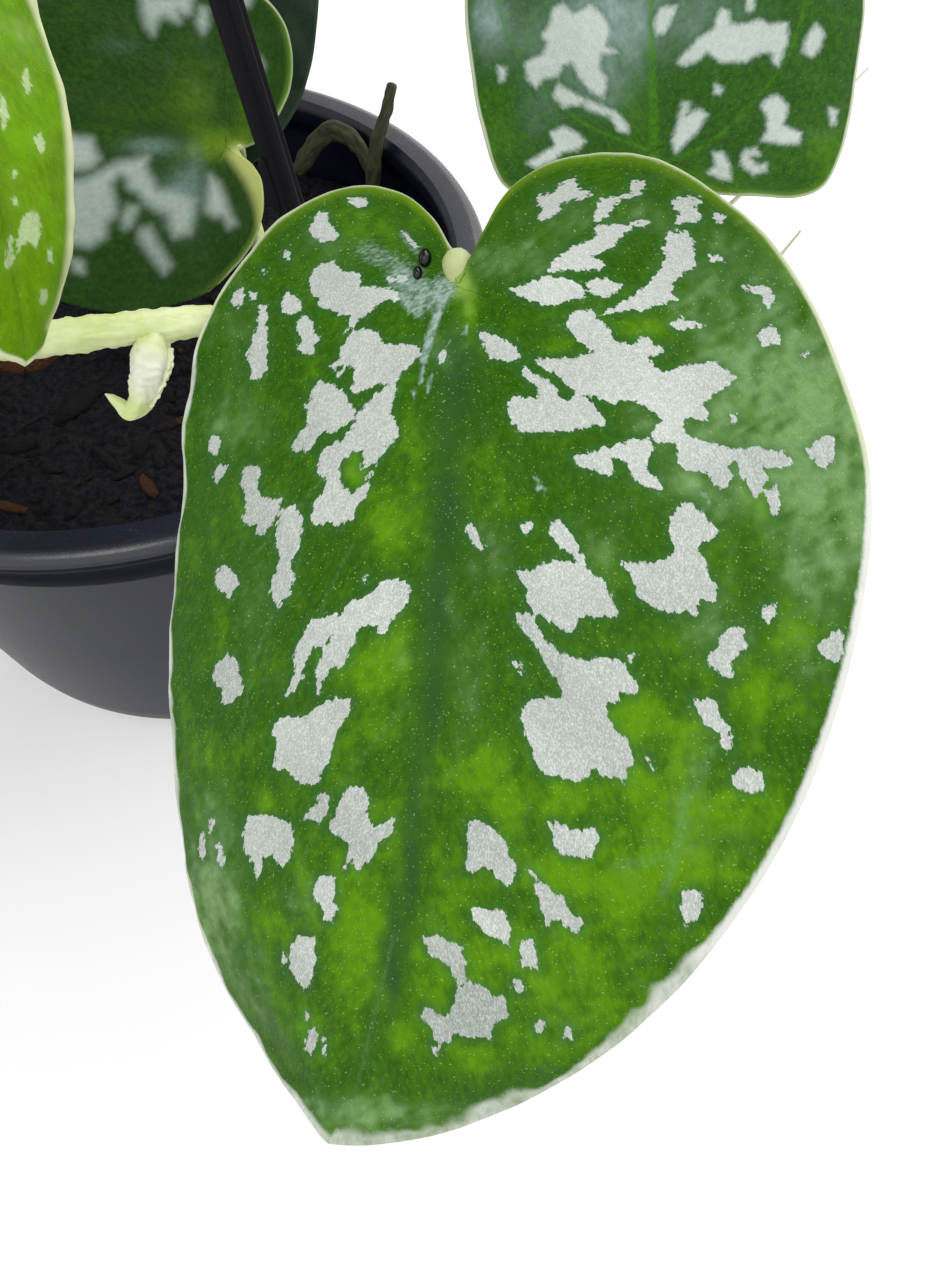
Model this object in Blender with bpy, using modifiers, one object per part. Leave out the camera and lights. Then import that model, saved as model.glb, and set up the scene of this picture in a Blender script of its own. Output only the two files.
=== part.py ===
# Satin pothos, Scindapsus pictus, in a nursery pot with a three-armed hanger.
# Lengths are in metres, +Z is up, and the middle of the pot's base is the origin.

import math
import random

import bmesh
import bpy
import numpy as np
from mathutils import Matrix, Vector

MM = 0.001
GAP = 0.3 * MM

# Pot
RIM_RADIUS = 75 * MM
BASE_RADIUS = 60 * MM
POT_HEIGHT = 90 * MM
WALL = 1.5 * MM
FLOOR = 2.2 * MM
FOOT_ROUND = 12 * MM
POT_STEPS = 44
DRAIN_RADIUS = 3 * MM
DRAIN_RING = 40 * MM
DRAIN_COUNT = 6

# Soil
SOIL_TOP = 72 * MM
HOLE_FLOOR = 60 * MM
HOLE_GAP = 0.5 * MM
SOIL_SEED = 7
SOIL_STEPS = 40
SOIL_RINGS = 10

# Hanger
ARM_ANGLES = (-45, 75, 195)
ARM_WIDTH = 3.7 * MM
ARM_THICKNESS = 2.0 * MM
RIDGE_WIDTH = 1.2 * MM
RIDGE_HEIGHT = 0.8 * MM
ARM_FOOT_RADIUS = RIM_RADIUS + 1.7 * MM
APEX_HEIGHT = 405 * MM
HUB_FLOOR = 388 * MM
HUB_RADIUS = 7.5 * MM
HUB_HEIGHT = 11 * MM
HOOK_WIRE = 2.1 * MM
HOOK_RADIUS = 15 * MM
HOOK_CENTRE = 432 * MM

# Stems and leaves
VINE_RADIUS = 2.6 * MM
PETIOLE_RADIUS = 1.25 * MM
BLADE_THICKNESS = 0.8 * MM
BLADE_CHANNEL = 0.012
PETIOLE_CLEARANCE = BLADE_THICKNESS / 2 + GAP + 0.25 * MM

# A half of a blade's outline, from the tip to the notch at the leaf stalk: the angle
# from the midrib in degrees and the distance from the leaf stalk as a share of the length.
HEART = (
    (0, 1.0), (4, 0.975), (11, 0.93), (20, 0.82), (31, 0.68), (44, 0.575), (60, 0.48), (76, 0.40),
    (94, 0.325), (112, 0.26), (130, 0.205), (146, 0.15), (157, 0.095), (162, 0.05), (180, 0.032),
)
BLUNT = (
    (0, 1.0), (4, 0.98), (11, 0.95), (20, 0.86), (31, 0.735), (44, 0.63), (60, 0.54), (76, 0.465),
    (94, 0.405), (110, 0.335), (126, 0.25), (142, 0.165), (154, 0.095), (162, 0.05), (180, 0.032),
)
SHALLOW = (
    (0, 1.0), (4, 0.98), (11, 0.95), (20, 0.87), (31, 0.76), (44, 0.65), (60, 0.55), (76, 0.46),
    (94, 0.375), (110, 0.285), (126, 0.20), (142, 0.13), (154, 0.08), (162, 0.045), (180, 0.03),
)
SQUARE = (
    (0, 1.0), (4, 0.98), (11, 0.94), (20, 0.84), (31, 0.71), (44, 0.59), (56, 0.51), (68, 0.44),
    (80, 0.395), (92, 0.362), (100, 0.335), (106, 0.28), (112, 0.20), (122, 0.13), (138, 0.085),
    (160, 0.05), (180, 0.03),
)
FRONT_NARROW = (
    (0, 1.0), (3, 0.977), (10, 0.95), (17, 0.85), (25, 0.707), (36, 0.57), (50, 0.462), (66, 0.395),
    (85, 0.317), (104, 0.238), (123, 0.19), (140, 0.135), (152, 0.088), (161, 0.05), (180, 0.032),
)
FRONT_WIDE = (
    (0, 1.0), (4, 0.988), (9, 0.965), (17, 0.90), (27, 0.808), (39, 0.705), (53, 0.60), (69, 0.507),
    (86, 0.408), (103, 0.326), (121, 0.253), (139, 0.182), (153, 0.132), (160, 0.085), (152, 0.045),
    (180, 0.032),
)

# What a leaf has unless its own entry says otherwise. arch, drop and lift are shares of
# the length; left is on the left of someone who looks from the tip to the stalk, from above.
LEAF = dict(
    roll=0, left=HEART, right=HEART, wide_left=1.0, wide_right=1.0, bow=0.0,
    arch=0.06, fold=0.0, drop_left=0.08, drop_right=0.08, lift=0.03, rows=12, columns=3,
)

# Each stem: its route in millimetres, then its leaves with the stalk's route to each.
# A leaf is given by the point where its stalk meets it and by its tip.
STEMS = {
    "vine_front": dict(
        route=(
            (-38, -30, 60), (-38, -30, 76), (-38, -32, 84), (-35, -42, 101), (-26, -57, 118.6),
            (-8, -70, 129.7), (15, -76, 134.7), (28, -75, 135.7), (40, -70, 133), (52, -64, 127),
        ),
        leaves={
            "leaf_front": dict(
                stalk=((45, -68, 130), (57, -69, 130)), base=(70, -78.2, 144.6), tip=(56, -157, 94.4),
                roll=-13, left=FRONT_NARROW, right=FRONT_WIDE, bow=-0.062, drop_left=0.09,
                drop_right=0.07, lift=0.04, rows=18, columns=5,
            ),
            "leaf_near_left": dict(
                stalk=((1, -72, 132), (4, -66, 146), (10, -62, 160)), base=(23.2, -71.3, 174.1),
                tip=(25.1, -89.1, 142.9), roll=60.2, left=BLUNT, right=BLUNT, wide_left=0.5,
                wide_right=0.65, fold=0.3, arch=0.08,
            ),
            "leaf_upper_left": dict(
                stalk=((50, -65, 128), (43, -55, 120), (41, -44, 118)), base=(35.2, -29.5, 131.6),
                tip=(-26.2, -18.7, 137.6), roll=29.8, left=SHALLOW, right=SHALLOW, wide_left=1.03,
                wide_right=0.87, fold=-0.12, arch=0.04,
            ),
            "leaf_front_left": dict(
                stalk=((-31, -49, 109), (-36, -58, 112)), base=(-46, -66, 122), tip=(-64, -118, 92),
                roll=6,
            ),
        },
    ),
    "vine_right": dict(
        route=(
            (38, -12, 60), (38, -12, 76), (43, -15, 92), (58, -24, 107), (78, -36, 114),
            (96, -44, 113), (108, -46, 100), (114, -42, 78), (116, -36, 54), (118, -30, 36),
        ),
        leaves={
            "leaf_right": dict(
                stalk=((95, -44, 113), (106, -50, 121), (108, -49, 130)), base=(95.1, -43.2, 138.8),
                tip=(94.6, 16.6, 178.7), roll=-0.7, left=SQUARE, right=SQUARE, wide_right=0.8,
                arch=0.05, lift=0.0,
            ),
            "leaf_right_lower": dict(
                stalk=((113, -43, 84), (121, -48, 80)), base=(128, -52, 74), tip=(138, -62, 22),
                roll=-10, wide_left=0.8, wide_right=0.8,
            ),
            "leaf_right_trailing": dict(
                stalk=((117, -33, 44), (124, -24, 46)), base=(130, -14, 44), tip=(140, 34, 16),
                roll=5, wide_left=0.85, wide_right=0.85,
            ),
        },
    ),
    "vine_left": dict(
        route=(
            (-42, 8, 60), (-42, 8, 76), (-46, 10, 92), (-62, 14, 106), (-82, 18, 106),
            (-96, 20, 92), (-102, 22, 66), (-104, 26, 42),
        ),
        leaves={
            "leaf_left_upper": dict(
                stalk=((-58, 13, 103), (-64, 6, 116)), base=(-76, 4, 130), tip=(-130, -16, 112),
                roll=-6,
            ),
            "leaf_left_back": dict(
                stalk=((-84, 18, 105), (-94, 28, 114)), base=(-104, 36, 120), tip=(-150, 74, 94),
            ),
            "leaf_left_lower": dict(
                stalk=((-101, 21, 74), (-109, 14, 76)), base=(-116, 6, 74), tip=(-140, -40, 42),
                roll=4,
            ),
            "leaf_left_trailing": dict(
                stalk=((-104, 25, 48), (-110, 34, 52)), base=(-117, 42, 50), tip=(-134, 88, 18),
                roll=-4,
            ),
        },
    ),
    "vine_back": dict(
        route=(
            (-8, 40, 60), (-8, 40, 76), (-9, 46, 92), (-13, 62, 106), (-18, 82, 106),
            (-21, 96, 92), (-22, 102, 66),
        ),
        leaves={
            "leaf_back_upper": dict(
                stalk=((-12, 60, 105), (-24, 62, 116)), base=(-36, 68, 126), tip=(-74, 110, 110),
                roll=4,
            ),
            "leaf_back": dict(
                stalk=((-18, 83, 105), (-10, 94, 110)), base=(-2, 104, 112), tip=(8, 160, 84),
                wide_left=0.85, wide_right=0.85,
            ),
            "leaf_back_trailing": dict(
                stalk=((-22, 101, 72), (-30, 110, 70)), base=(-36, 118, 64), tip=(-56, 152, 22),
            ),
        },
    ),
    "vine_upright": dict(
        route=((2, 8, 60), (2, 8, 76), (3, 7, 94), (4, 6, 112), (1, 12, 134), (-3, 20, 154)),
        leaves={
            "leaf_inner": dict(
                stalk=((4, 6, 110), (14, 0, 108)), base=(24.5, -3, 119.7), tip=(36.2, 52.8, 146.8),
                roll=-12, wide_left=0.59, wide_right=0.72,
            ),
            "leaf_top_left": dict(
                stalk=((2, 11, 129), (-5, 7, 142)), base=(-14, 2, 156), tip=(-48, -36, 164),
                roll=-5, wide_left=0.9, wide_right=0.9,
            ),
            "leaf_top": dict(
                stalk=((-2, 19, 151), (-3, 24, 160)), base=(-6, 31, 171), tip=(-34, 76, 184),
                wide_left=0.9, wide_right=0.9,
            ),
        },
    ),
}

# The white curled shoot under the front vine, and the dry stub with its arched sheath,
# as routes in millimetres with the radius at each point.
SHOOT = (
    (33, -73, 133.7, 2.2), (34, -76, 134, 2.4), (33.5, -78, 132.7, 2.3), (32.5, -79.3, 130.8, 2.0),
    (31.4, -80, 129, 1.6), (30, -80.2, 128.1, 1.1), (28.6, -79.4, 128.2, 0.8), (27.4, -78.6, 128.5, 0.5),
)
STUB = ((48, 40, 60, 1.7), (48, 40, 76, 1.7), (49.3, 41.2, 88, 1.6), (54, 46, 101, 1.2))
SHEATH = ((49, 41, 82, 1.4), (45, 47, 87, 1.8), (38, 51, 88, 1.8), (30, 49, 80, 1.4))


def clear_scene():
    for thing in list(bpy.data.objects):
        bpy.data.objects.remove(thing, do_unlink=True)


def new_collection(name):
    made = bpy.data.collections.new(name)
    bpy.context.scene.collection.children.link(made)
    return made


def new_material(name, colour, roughness):
    made = bpy.data.materials.new(name)
    made.use_nodes = True
    shader = made.node_tree.nodes["Principled BSDF"]
    shader.inputs["Base Color"].default_value = (*colour, 1)
    shader.inputs["Roughness"].default_value = roughness
    shader.inputs["Metallic"].default_value = 0.0
    return made


def new_object(name, mesh, material, collection):
    made = bpy.data.objects.new(name, mesh)
    mesh.materials.clear()
    mesh.materials.append(material)
    collection.objects.link(made)
    return made


def frozen(thing, name):
    """A mesh copy of the object as it is evaluated, welded, in place of the object."""
    bpy.context.view_layer.update()
    graph = bpy.context.evaluated_depsgraph_get()
    mesh = bpy.data.meshes.new_from_object(thing.evaluated_get(graph))
    mesh.name = name
    mesh.transform(thing.matrix_world)
    bpy.data.objects.remove(thing, do_unlink=True)
    cage = bmesh.new()
    cage.from_mesh(mesh)
    bmesh.ops.remove_doubles(cage, verts=cage.verts, dist=0.001 * MM)
    bmesh.ops.recalc_face_normals(cage, faces=cage.faces)
    cage.to_mesh(mesh)
    cage.free()
    return mesh


def combined(name, meshes, material, collection, operation="UNION"):
    """The first mesh joined with, or cut by, all the others."""
    others = new_collection(name + "_others")
    for number, mesh in enumerate(meshes[1:]):
        new_object(f"{name}_other_{number}", mesh, material, others)
    whole = new_object(name, meshes[0], material, collection)
    boolean = whole.modifiers.new("combine", "BOOLEAN")
    boolean.operation = operation
    boolean.solver = "EXACT"
    boolean.operand_type = "COLLECTION"
    boolean.collection = others
    mesh = frozen(whole, name)
    for thing in list(others.objects):
        bpy.data.objects.remove(thing, do_unlink=True)
    bpy.data.collections.remove(others)
    return new_object(name, mesh, material, collection)


def smooth(thing, degrees=40):
    thing.data.shade_smooth()
    thing.data.set_sharp_from_angle(angle=math.radians(degrees))


def turned(name, profile, steps):
    """A mesh turned about Z from (radius, height) pairs that run down the outer side."""
    mesh = bpy.data.meshes.new(name)
    edges = [(i, i + 1) for i in range(len(profile) - 1)]
    mesh.from_pydata([(r, 0, z) for r, z in profile], edges, [])
    thing = bpy.data.objects.new(name, mesh)
    bpy.context.scene.collection.objects.link(thing)
    screw = thing.modifiers.new("turn", "SCREW")
    screw.steps = steps
    screw.render_steps = steps
    screw.use_merge_vertices = True
    screw.merge_threshold = 0.00001
    return frozen(thing, name)


def smooth_route(points, per_span):
    """Points on a smooth curve through the given ones (Catmull-Rom)."""
    p = np.asarray(points, float)
    p = np.vstack([2 * p[0] - p[1], p, 2 * p[-1] - p[-2]])
    t = np.linspace(0, 1, per_span, endpoint=False)[:, None]
    spans = [
        0.5 * (2 * b + (c - a) * t + (2 * a - 5 * b + 4 * c - d) * t**2 + (3 * b - a - 3 * c + d) * t**3)
        for a, b, c, d in zip(p[:-3], p[1:-2], p[2:-1], p[3:])
    ]
    return np.vstack([*spans, p[-2:-1]])


def evenly(route, shares):
    """The points that lie at these shares of the route's length."""
    walked = np.r_[0, np.cumsum(np.linalg.norm(np.diff(route, axis=0), axis=1))]
    at = np.asarray(shares) * walked[-1]
    return np.stack([np.interp(at, walked, route[:, axis]) for axis in range(route.shape[1])], -1)


def tube(name, route, radii):
    """A closed round tube along the route, with a radius at each point."""
    curve = bpy.data.curves.new(name, "CURVE")
    curve.dimensions = "3D"
    curve.bevel_depth = 1.0
    curve.bevel_resolution = 2
    curve.use_fill_caps = True
    spline = curve.splines.new("POLY")
    spline.points.add(len(route) - 1)
    for point, place, radius in zip(spline.points, route, radii):
        point.co = (*place, 1)
        point.radius = radius
    thing = bpy.data.objects.new(name, curve)
    bpy.context.scene.collection.objects.link(thing)
    return frozen(thing, name)


def box(name, size, place):
    bpy.ops.mesh.primitive_cube_add(size=1)
    thing = bpy.context.object
    thing.matrix_world = place @ Matrix.Diagonal((*size, 1))
    return frozen(thing, name)


def cylinder(name, radius, low, high, x, y, sides=12):
    bpy.ops.mesh.primitive_cylinder_add(
        radius=radius, depth=high - low, vertices=sides, location=(x, y, (low + high) / 2)
    )
    return frozen(bpy.context.object, name)


def outer_wall(height):
    """The pot's outer radius at a height above the rounded foot."""
    return BASE_RADIUS + (0.957 * RIM_RADIUS - BASE_RADIUS) * height / POT_HEIGHT


def make_pot(material, collection):
    foot = [
        (
            BASE_RADIUS - FOOT_ROUND * (1 - math.cos(angle)) + 1.2 * MM,
            FOOT_ROUND * (1 - math.sin(angle)),
        )
        for angle in (0.15 * math.pi, 0.3 * math.pi, 0.42 * math.pi, 0.5 * math.pi)
    ]
    outside = [
        (68.6 * MM, 90.0 * MM), (73.6 * MM, 90.0 * MM), (74.7 * MM, 89.2 * MM), (RIM_RADIUS, 87.8 * MM),
        (74.8 * MM, 86.2 * MM), (73.6 * MM, 85.2 * MM), (73.0 * MM, 84.4 * MM), (73.2 * MM, 83.0 * MM),
        (72.9 * MM, 79.6 * MM), (outer_wall(78.8 * MM), 78.8 * MM), (outer_wall(45 * MM), 45 * MM),
        (outer_wall(FOOT_ROUND), FOOT_ROUND), *foot, (20 * MM, 0), (0, 0),
    ]
    inside = [
        (0, FLOOR), (20 * MM, FLOOR), (foot[2][0] - WALL, FLOOR + 0.6 * MM),
        (outer_wall(FOOT_ROUND) - WALL, FOOT_ROUND), (outer_wall(45 * MM) - WALL, 45 * MM),
        (outer_wall(78 * MM) - WALL, 78 * MM), (69.2 * MM, 82.0 * MM), (67.2 * MM, 85.5 * MM),
        (67.2 * MM, 88.4 * MM), (68.6 * MM, 90.0 * MM),
    ]
    shell = turned("pot_shell", outside + inside, POT_STEPS)
    drains = []
    for number in range(DRAIN_COUNT):
        angle = 2 * math.pi * (number + 0.5) / DRAIN_COUNT
        drains.append(
            cylinder(
                f"drain_{number}", DRAIN_RADIUS, -5 * MM, 8 * MM,
                DRAIN_RING * math.cos(angle), DRAIN_RING * math.sin(angle),
            )
        )
    smooth(combined("pot", [shell, *drains], material, collection, "DIFFERENCE"))


def soil_height(x, y, lumps):
    """The soil's surface: low round lumps on a slight mound."""
    height = SOIL_TOP + 1.5 * MM * (1 - (np.hypot(x, y) / RIM_RADIUS) ** 2)
    for lump_x, lump_y, width, rise in lumps:
        height = height + rise * np.exp(-((x - lump_x) ** 2 + (y - lump_y) ** 2) / width**2)
    return height


def make_soil(material, collection):
    draw = random.Random(SOIL_SEED)
    lumps = []
    for _ in range(90):
        angle = draw.uniform(0, 2 * math.pi)
        reach = 66 * MM * math.sqrt(draw.random())
        lumps.append(
            (
                reach * math.cos(angle), reach * math.sin(angle),
                draw.uniform(2.5, 6) * MM, draw.uniform(-1.2, 2.2) * MM,
            )
        )
    wall_gap = WALL + GAP + 0.2 * MM
    edge = outer_wall(SOIL_TOP) - wall_gap
    top = [(edge * share, SOIL_TOP) for share in np.linspace(0, 1, SOIL_RINGS)[:-1]]
    side = [
        (edge, SOIL_TOP - 0.5 * MM), (outer_wall(45 * MM) - wall_gap, 45 * MM),
        (outer_wall(FOOT_ROUND) - wall_gap, FOOT_ROUND), (48 * MM, 4.5 * MM), (0, FLOOR + GAP),
    ]
    mesh = turned("soil_body", top + side, SOIL_STEPS)
    for vertex in mesh.vertices:
        reach = math.hypot(vertex.co.x, vertex.co.y)
        if abs(vertex.co.z - SOIL_TOP) < 0.01 * MM and reach < 0.97 * edge:
            vertex.co.z = soil_height(vertex.co.x, vertex.co.y, lumps)
    feet = [stem["route"][0] for stem in STEMS.values()] + [STUB[0]]
    radii = [VINE_RADIUS] * len(STEMS) + [STUB[0][3] * MM]
    holes = [
        cylinder(f"hole_{n}", radius + HOLE_GAP, HOLE_FLOOR - GAP, 90 * MM, x * MM, y * MM, 16)
        for n, ((x, y, *_), radius) in enumerate(zip(feet, radii))
    ]
    smooth(combined("soil", [mesh, *holes], material, collection, "DIFFERENCE"), 60)


def make_arm(number, angle, material, collection):
    """One strand of the hanger: a ridged strip, with a toe that clips under the pot's lip."""
    lean = math.atan2(ARM_FOOT_RADIUS, APEX_HEIGHT - POT_HEIGHT)
    length = (APEX_HEIGHT - POT_HEIGHT) / math.cos(lean)
    side = ARM_WIDTH / 2
    back = ARM_THICKNESS / 2
    outline = bpy.data.curves.new("strip", "CURVE")
    outline.dimensions = "2D"
    outline.fill_mode = "BOTH"
    outline.extrude = length / 2
    corners = (
        (-side, -back), (side, -back), (side, back), (RIDGE_WIDTH / 2, back),
        (RIDGE_WIDTH / 2, back + RIDGE_HEIGHT), (-RIDGE_WIDTH / 2, back + RIDGE_HEIGHT),
        (-RIDGE_WIDTH / 2, back), (-side, back),
    )
    spline = outline.splines.new("POLY")
    spline.points.add(len(corners) - 1)
    spline.use_cyclic_u = True
    for point, (x, y) in zip(spline.points, corners):
        point.co = (x, y, 0, 1)
    strip = bpy.data.objects.new("strip", outline)
    bpy.context.scene.collection.objects.link(strip)
    turn = Matrix.Rotation(math.radians(angle) + math.pi / 2, 4, "Z")
    foot = turn @ Vector((0, -ARM_FOOT_RADIUS, POT_HEIGHT))
    along = turn @ Vector((0, math.sin(lean), math.cos(lean)))
    tilt = Matrix.Rotation(-lean, 4, "X") @ Matrix.Rotation(math.pi, 4, "Z")
    strip.matrix_world = Matrix.Translation(foot + along * length / 2) @ turn @ tilt
    upright = Matrix.Translation((0, -ARM_FOOT_RADIUS - 0.35 * MM, POT_HEIGHT - 3.4 * MM))
    toe = Matrix.Translation((0, -ARM_FOOT_RADIUS + 1.05 * MM, POT_HEIGHT - 8.6 * MM))
    tab = Matrix.Translation((-ARM_WIDTH / 2, -0.85 * ARM_FOOT_RADIUS - 0.1 * MM, POT_HEIGHT + 47 * MM))
    above = Matrix.Translation((0, 0, HUB_FLOOR + 30 * MM - GAP))
    pieces = [
        frozen(strip, "strip"),
        box("upright", (5.4 * MM, 2.0 * MM, 13 * MM), turn @ upright),
        box("toe", (5.0 * MM, 4.4 * MM, 2.4 * MM), turn @ toe),
        box("tab", (1.6 * MM, 1.2 * MM, 7 * MM), turn @ tab @ Matrix.Rotation(-lean, 4, "X")),
    ]
    whole = combined(f"arm_blank_{number}", pieces, material, collection)
    blank = frozen(whole, "arm_blank")
    top = box("above", (60 * MM, 60 * MM, 60 * MM), above)
    combined(f"hanger_arm_{number}", [blank, top], material, collection, "DIFFERENCE")


def make_hook(material, collection):
    """The hub that the three strands meet at, and the hook over it."""
    high = HUB_FLOOR + HUB_HEIGHT
    hub = turned(
        "hub",
        [
            (0, high), (3.6 * MM, high), (5.0 * MM, high - 2 * MM), (HUB_RADIUS, high - 5 * MM),
            (HUB_RADIUS, HUB_FLOOR + 1 * MM), (HUB_RADIUS - 1 * MM, HUB_FLOOR), (0, HUB_FLOOR),
        ],
        24,
    )
    turns = np.radians(np.linspace(-50, 212, 20))
    bend = [(HOOK_RADIUS * math.cos(a), 0, HOOK_CENTRE + HOOK_RADIUS * math.sin(a)) for a in turns]
    shank = smooth_route([(0, 0, high - 2 * MM), (0, 0, high + 5 * MM), (2 * MM, 0, high + 11 * MM), bend[0]], 3)
    route = [tuple(point) for point in shank[:-1]] + bend
    wire = tube("wire", route, [HOOK_WIRE] * len(route))
    smooth(combined("hanger_hook", [hub, wire], material, collection))


def unit(vector):
    return vector / np.linalg.norm(vector)


def ramp(low, high, value):
    share = np.clip((value - low) / (high - low), 0, 1)
    return share * share * (3 - 2 * share)


def leaf_axes(leaf):
    """Origin, left, forward and up of a blade, and its length, in metres."""
    base = np.array(leaf["base"], float) * MM
    reach = np.array(leaf["tip"], float) * MM - base
    forward = unit(reach)
    left = unit(np.cross(forward, (0, 0, 1)))
    up = np.cross(left, forward)
    roll = math.radians(leaf["roll"])
    rolled = left * math.cos(roll) + up * math.sin(roll)
    return base, rolled, forward, up * math.cos(roll) - left * math.sin(roll), np.linalg.norm(reach)


def half_blade(leaf, side):
    """Points of one half of a blade, in rows that follow the veins from the tip round to the notch.

    Each row starts on the midrib and ends on the margin. The rows of the last two fifths
    all start where the stalk meets the blade. side is 1 for the left half and -1 for the right."""
    base, left, forward, up, length = leaf_axes(leaf)
    outline = leaf["left"] if side > 0 else leaf["right"]
    wide = leaf["wide_left"] if side > 0 else leaf["wide_right"]
    drop = leaf["drop_left"] if side > 0 else leaf["drop_right"]
    angles = np.radians([angle for angle, _ in outline])
    reach = np.array([share for _, share in outline])
    corners = np.stack([side * wide * np.sin(angles) * reach, np.cos(angles) * reach], -1)
    turn = np.linspace(0, 1, leaf["rows"] + 1)[:, None] ** 0.95
    margin = evenly(smooth_route(corners, 10), turn[:, 0])
    start = np.clip(1 - turn / 0.6, 0, 1) ** 1.15
    midrib = np.hstack([leaf["bow"] * 4 * start * (1 - start) * (0.5 + start), start])
    span = np.linalg.norm(margin - midrib, axis=1, keepdims=True)
    bend = 0.12 * span * np.clip(1 - turn / 0.9, 0, 1)
    middle = (midrib + margin) / 2 - np.hstack([0 * bend, bend])
    out = np.linspace(0, 1, leaf["columns"] + 1)[None, :]
    u = out[..., None]
    flat = (1 - u) ** 2 * midrib[:, None] + 2 * u * (1 - u) * middle[:, None] + u**2 * margin[:, None]
    along = flat[..., 1]
    arch = np.where(along > 0, np.sin(np.pi * np.clip(along, 0, 1)), np.pi * along * np.exp(2 * along))
    lobe = ramp(0.55, 0.85, turn)
    height = leaf["arch"] * arch + leaf["fold"] * np.abs(flat[..., 0])
    height = height - drop * out**2.4 * (1 - lobe) * ramp(0, 0.12, turn)
    height = height + leaf["lift"] * out**2 * lobe - BLADE_CHANNEL * np.exp(-((out / 0.12) ** 2))
    return base + length * (flat[..., :1] * left + flat[..., 1:] * forward + height[..., None] * up)


def make_blade(name, leaf, material, collection):
    points = []
    faces = []
    for side in (1, -1):
        grid = half_blade(leaf, side)
        first = len(points)
        across = grid.shape[1]
        points.extend(map(tuple, grid.reshape(-1, 3)))
        for row in range(grid.shape[0] - 1):
            for column in range(across - 1):
                a = first + row * across + column
                b, c, d = a + 1, a + across + 1, a + across
                faces.extend(((a, b, c), (a, c, d)) if side > 0 else ((a, c, b), (a, d, c)))
    mesh = bpy.data.meshes.new(name)
    mesh.from_pydata(points, [], faces)
    cage = bmesh.new()
    cage.from_mesh(mesh)
    bmesh.ops.remove_doubles(cage, verts=cage.verts, dist=0.02 * MM)
    cage.to_mesh(mesh)
    cage.free()
    blade = new_object(name, mesh, material, collection)
    solid = blade.modifiers.new("thickness", "SOLIDIFY")
    solid.thickness = BLADE_THICKNESS
    solid.offset = 0
    solid.use_even_offset = True
    blade.data.shade_smooth()


def stalk_route(leaf):
    """The leaf stalk's route: it meets the blade's underside square on, a gap below it."""
    base, _, _, up, length = leaf_axes(leaf)
    below = BLADE_CHANNEL * length + PETIOLE_CLEARANCE
    end = base - up * below
    knee = base - up * (below + 4.5 * MM)
    points = [np.array(point, float) * MM for point in leaf["stalk"]]
    return smooth_route([*points, knee, end], 2)


def make_stem(name, stem, material, collection):
    route = smooth_route(np.array(stem["route"], float) * MM, 2)
    share = np.linspace(0, 1, len(route))
    pieces = [tube(name, route, VINE_RADIUS * (1 - 0.25 * share))]
    for leaf_name, entry in stem["leaves"].items():
        path = stalk_route({**LEAF, **entry})
        step = np.linspace(0, 1, len(path))
        pieces.append(tube(leaf_name + "_stalk", path, PETIOLE_RADIUS * (1.35 - 0.35 * ramp(0, 0.5, step))))
    if name == "vine_front":
        path = smooth_route(np.array(SHOOT, float) * MM, 3)
        pieces.append(tube("shoot", path[:, :3], path[:, 3]))
    smooth(combined(name, pieces, material, collection), 60)


def make_stub(material, collection):
    pieces = []
    for name, points in (("stub", STUB), ("sheath", SHEATH)):
        path = smooth_route(np.array(points, float) * MM, 3)
        pieces.append(tube(name, path[:, :3], path[:, 3]))
    smooth(combined("dry_stem", pieces, material, collection), 60)


def main():
    clear_scene()
    plant = new_collection("satin_pothos")
    black = new_material("black_plastic", (0.018, 0.02, 0.026), 0.42)
    earth = new_material("potting_soil", (0.035, 0.022, 0.016), 0.95)
    green = new_material("leaf_green", (0.06, 0.2, 0.025), 0.4)
    pale = new_material("stem_green", (0.52, 0.62, 0.28), 0.5)
    dry = new_material("dry_brown", (0.16, 0.15, 0.08), 0.8)
    make_pot(black, plant)
    make_soil(earth, plant)
    for number, angle in enumerate(ARM_ANGLES, 1):
        make_arm(number, angle, black, plant)
    make_hook(black, plant)
    for name, stem in STEMS.items():
        make_stem(name, stem, pale, plant)
        for leaf_name, entry in stem["leaves"].items():
            make_blade(leaf_name, {**LEAF, **entry}, green, plant)
    make_stub(dry, plant)


main()
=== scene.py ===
# Satin pothos, Scindapsus pictus, in a nursery pot with a three-armed hanger.
# Sizes are in millimetres until a mesh is made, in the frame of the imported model: +Z is up,
# the middle of the pot's base is the origin, and the viewer of the photograph is at -Y.
import math
import random

import bmesh
import bpy
import numpy as np
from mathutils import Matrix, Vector


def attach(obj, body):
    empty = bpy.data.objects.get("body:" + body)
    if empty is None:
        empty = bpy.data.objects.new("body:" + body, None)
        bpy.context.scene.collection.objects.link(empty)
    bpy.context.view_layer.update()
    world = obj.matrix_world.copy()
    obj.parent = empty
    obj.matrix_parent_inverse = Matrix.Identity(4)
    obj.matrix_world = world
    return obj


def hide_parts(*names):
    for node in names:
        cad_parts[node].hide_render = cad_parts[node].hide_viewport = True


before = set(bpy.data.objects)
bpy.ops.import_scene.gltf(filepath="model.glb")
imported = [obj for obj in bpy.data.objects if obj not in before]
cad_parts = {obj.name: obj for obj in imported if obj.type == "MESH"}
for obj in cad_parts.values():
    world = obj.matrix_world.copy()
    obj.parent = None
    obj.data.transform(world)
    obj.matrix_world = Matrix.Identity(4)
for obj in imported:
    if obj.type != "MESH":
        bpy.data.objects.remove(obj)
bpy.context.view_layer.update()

mm = 0.001
print("frame loaded:", len(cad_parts), "nodes")

view = dict(
    place=(72.0, -165.75, 211.5),  # the camera
    pitch=32.5,                    # degrees that it is raised from straight down
    lens=27.0,
    sensor=36.0,
    width=950,                     # the photograph, in pixels
    height=1267,
)
viewFocal = view["lens"] / view["sensor"] * view["height"]


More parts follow.
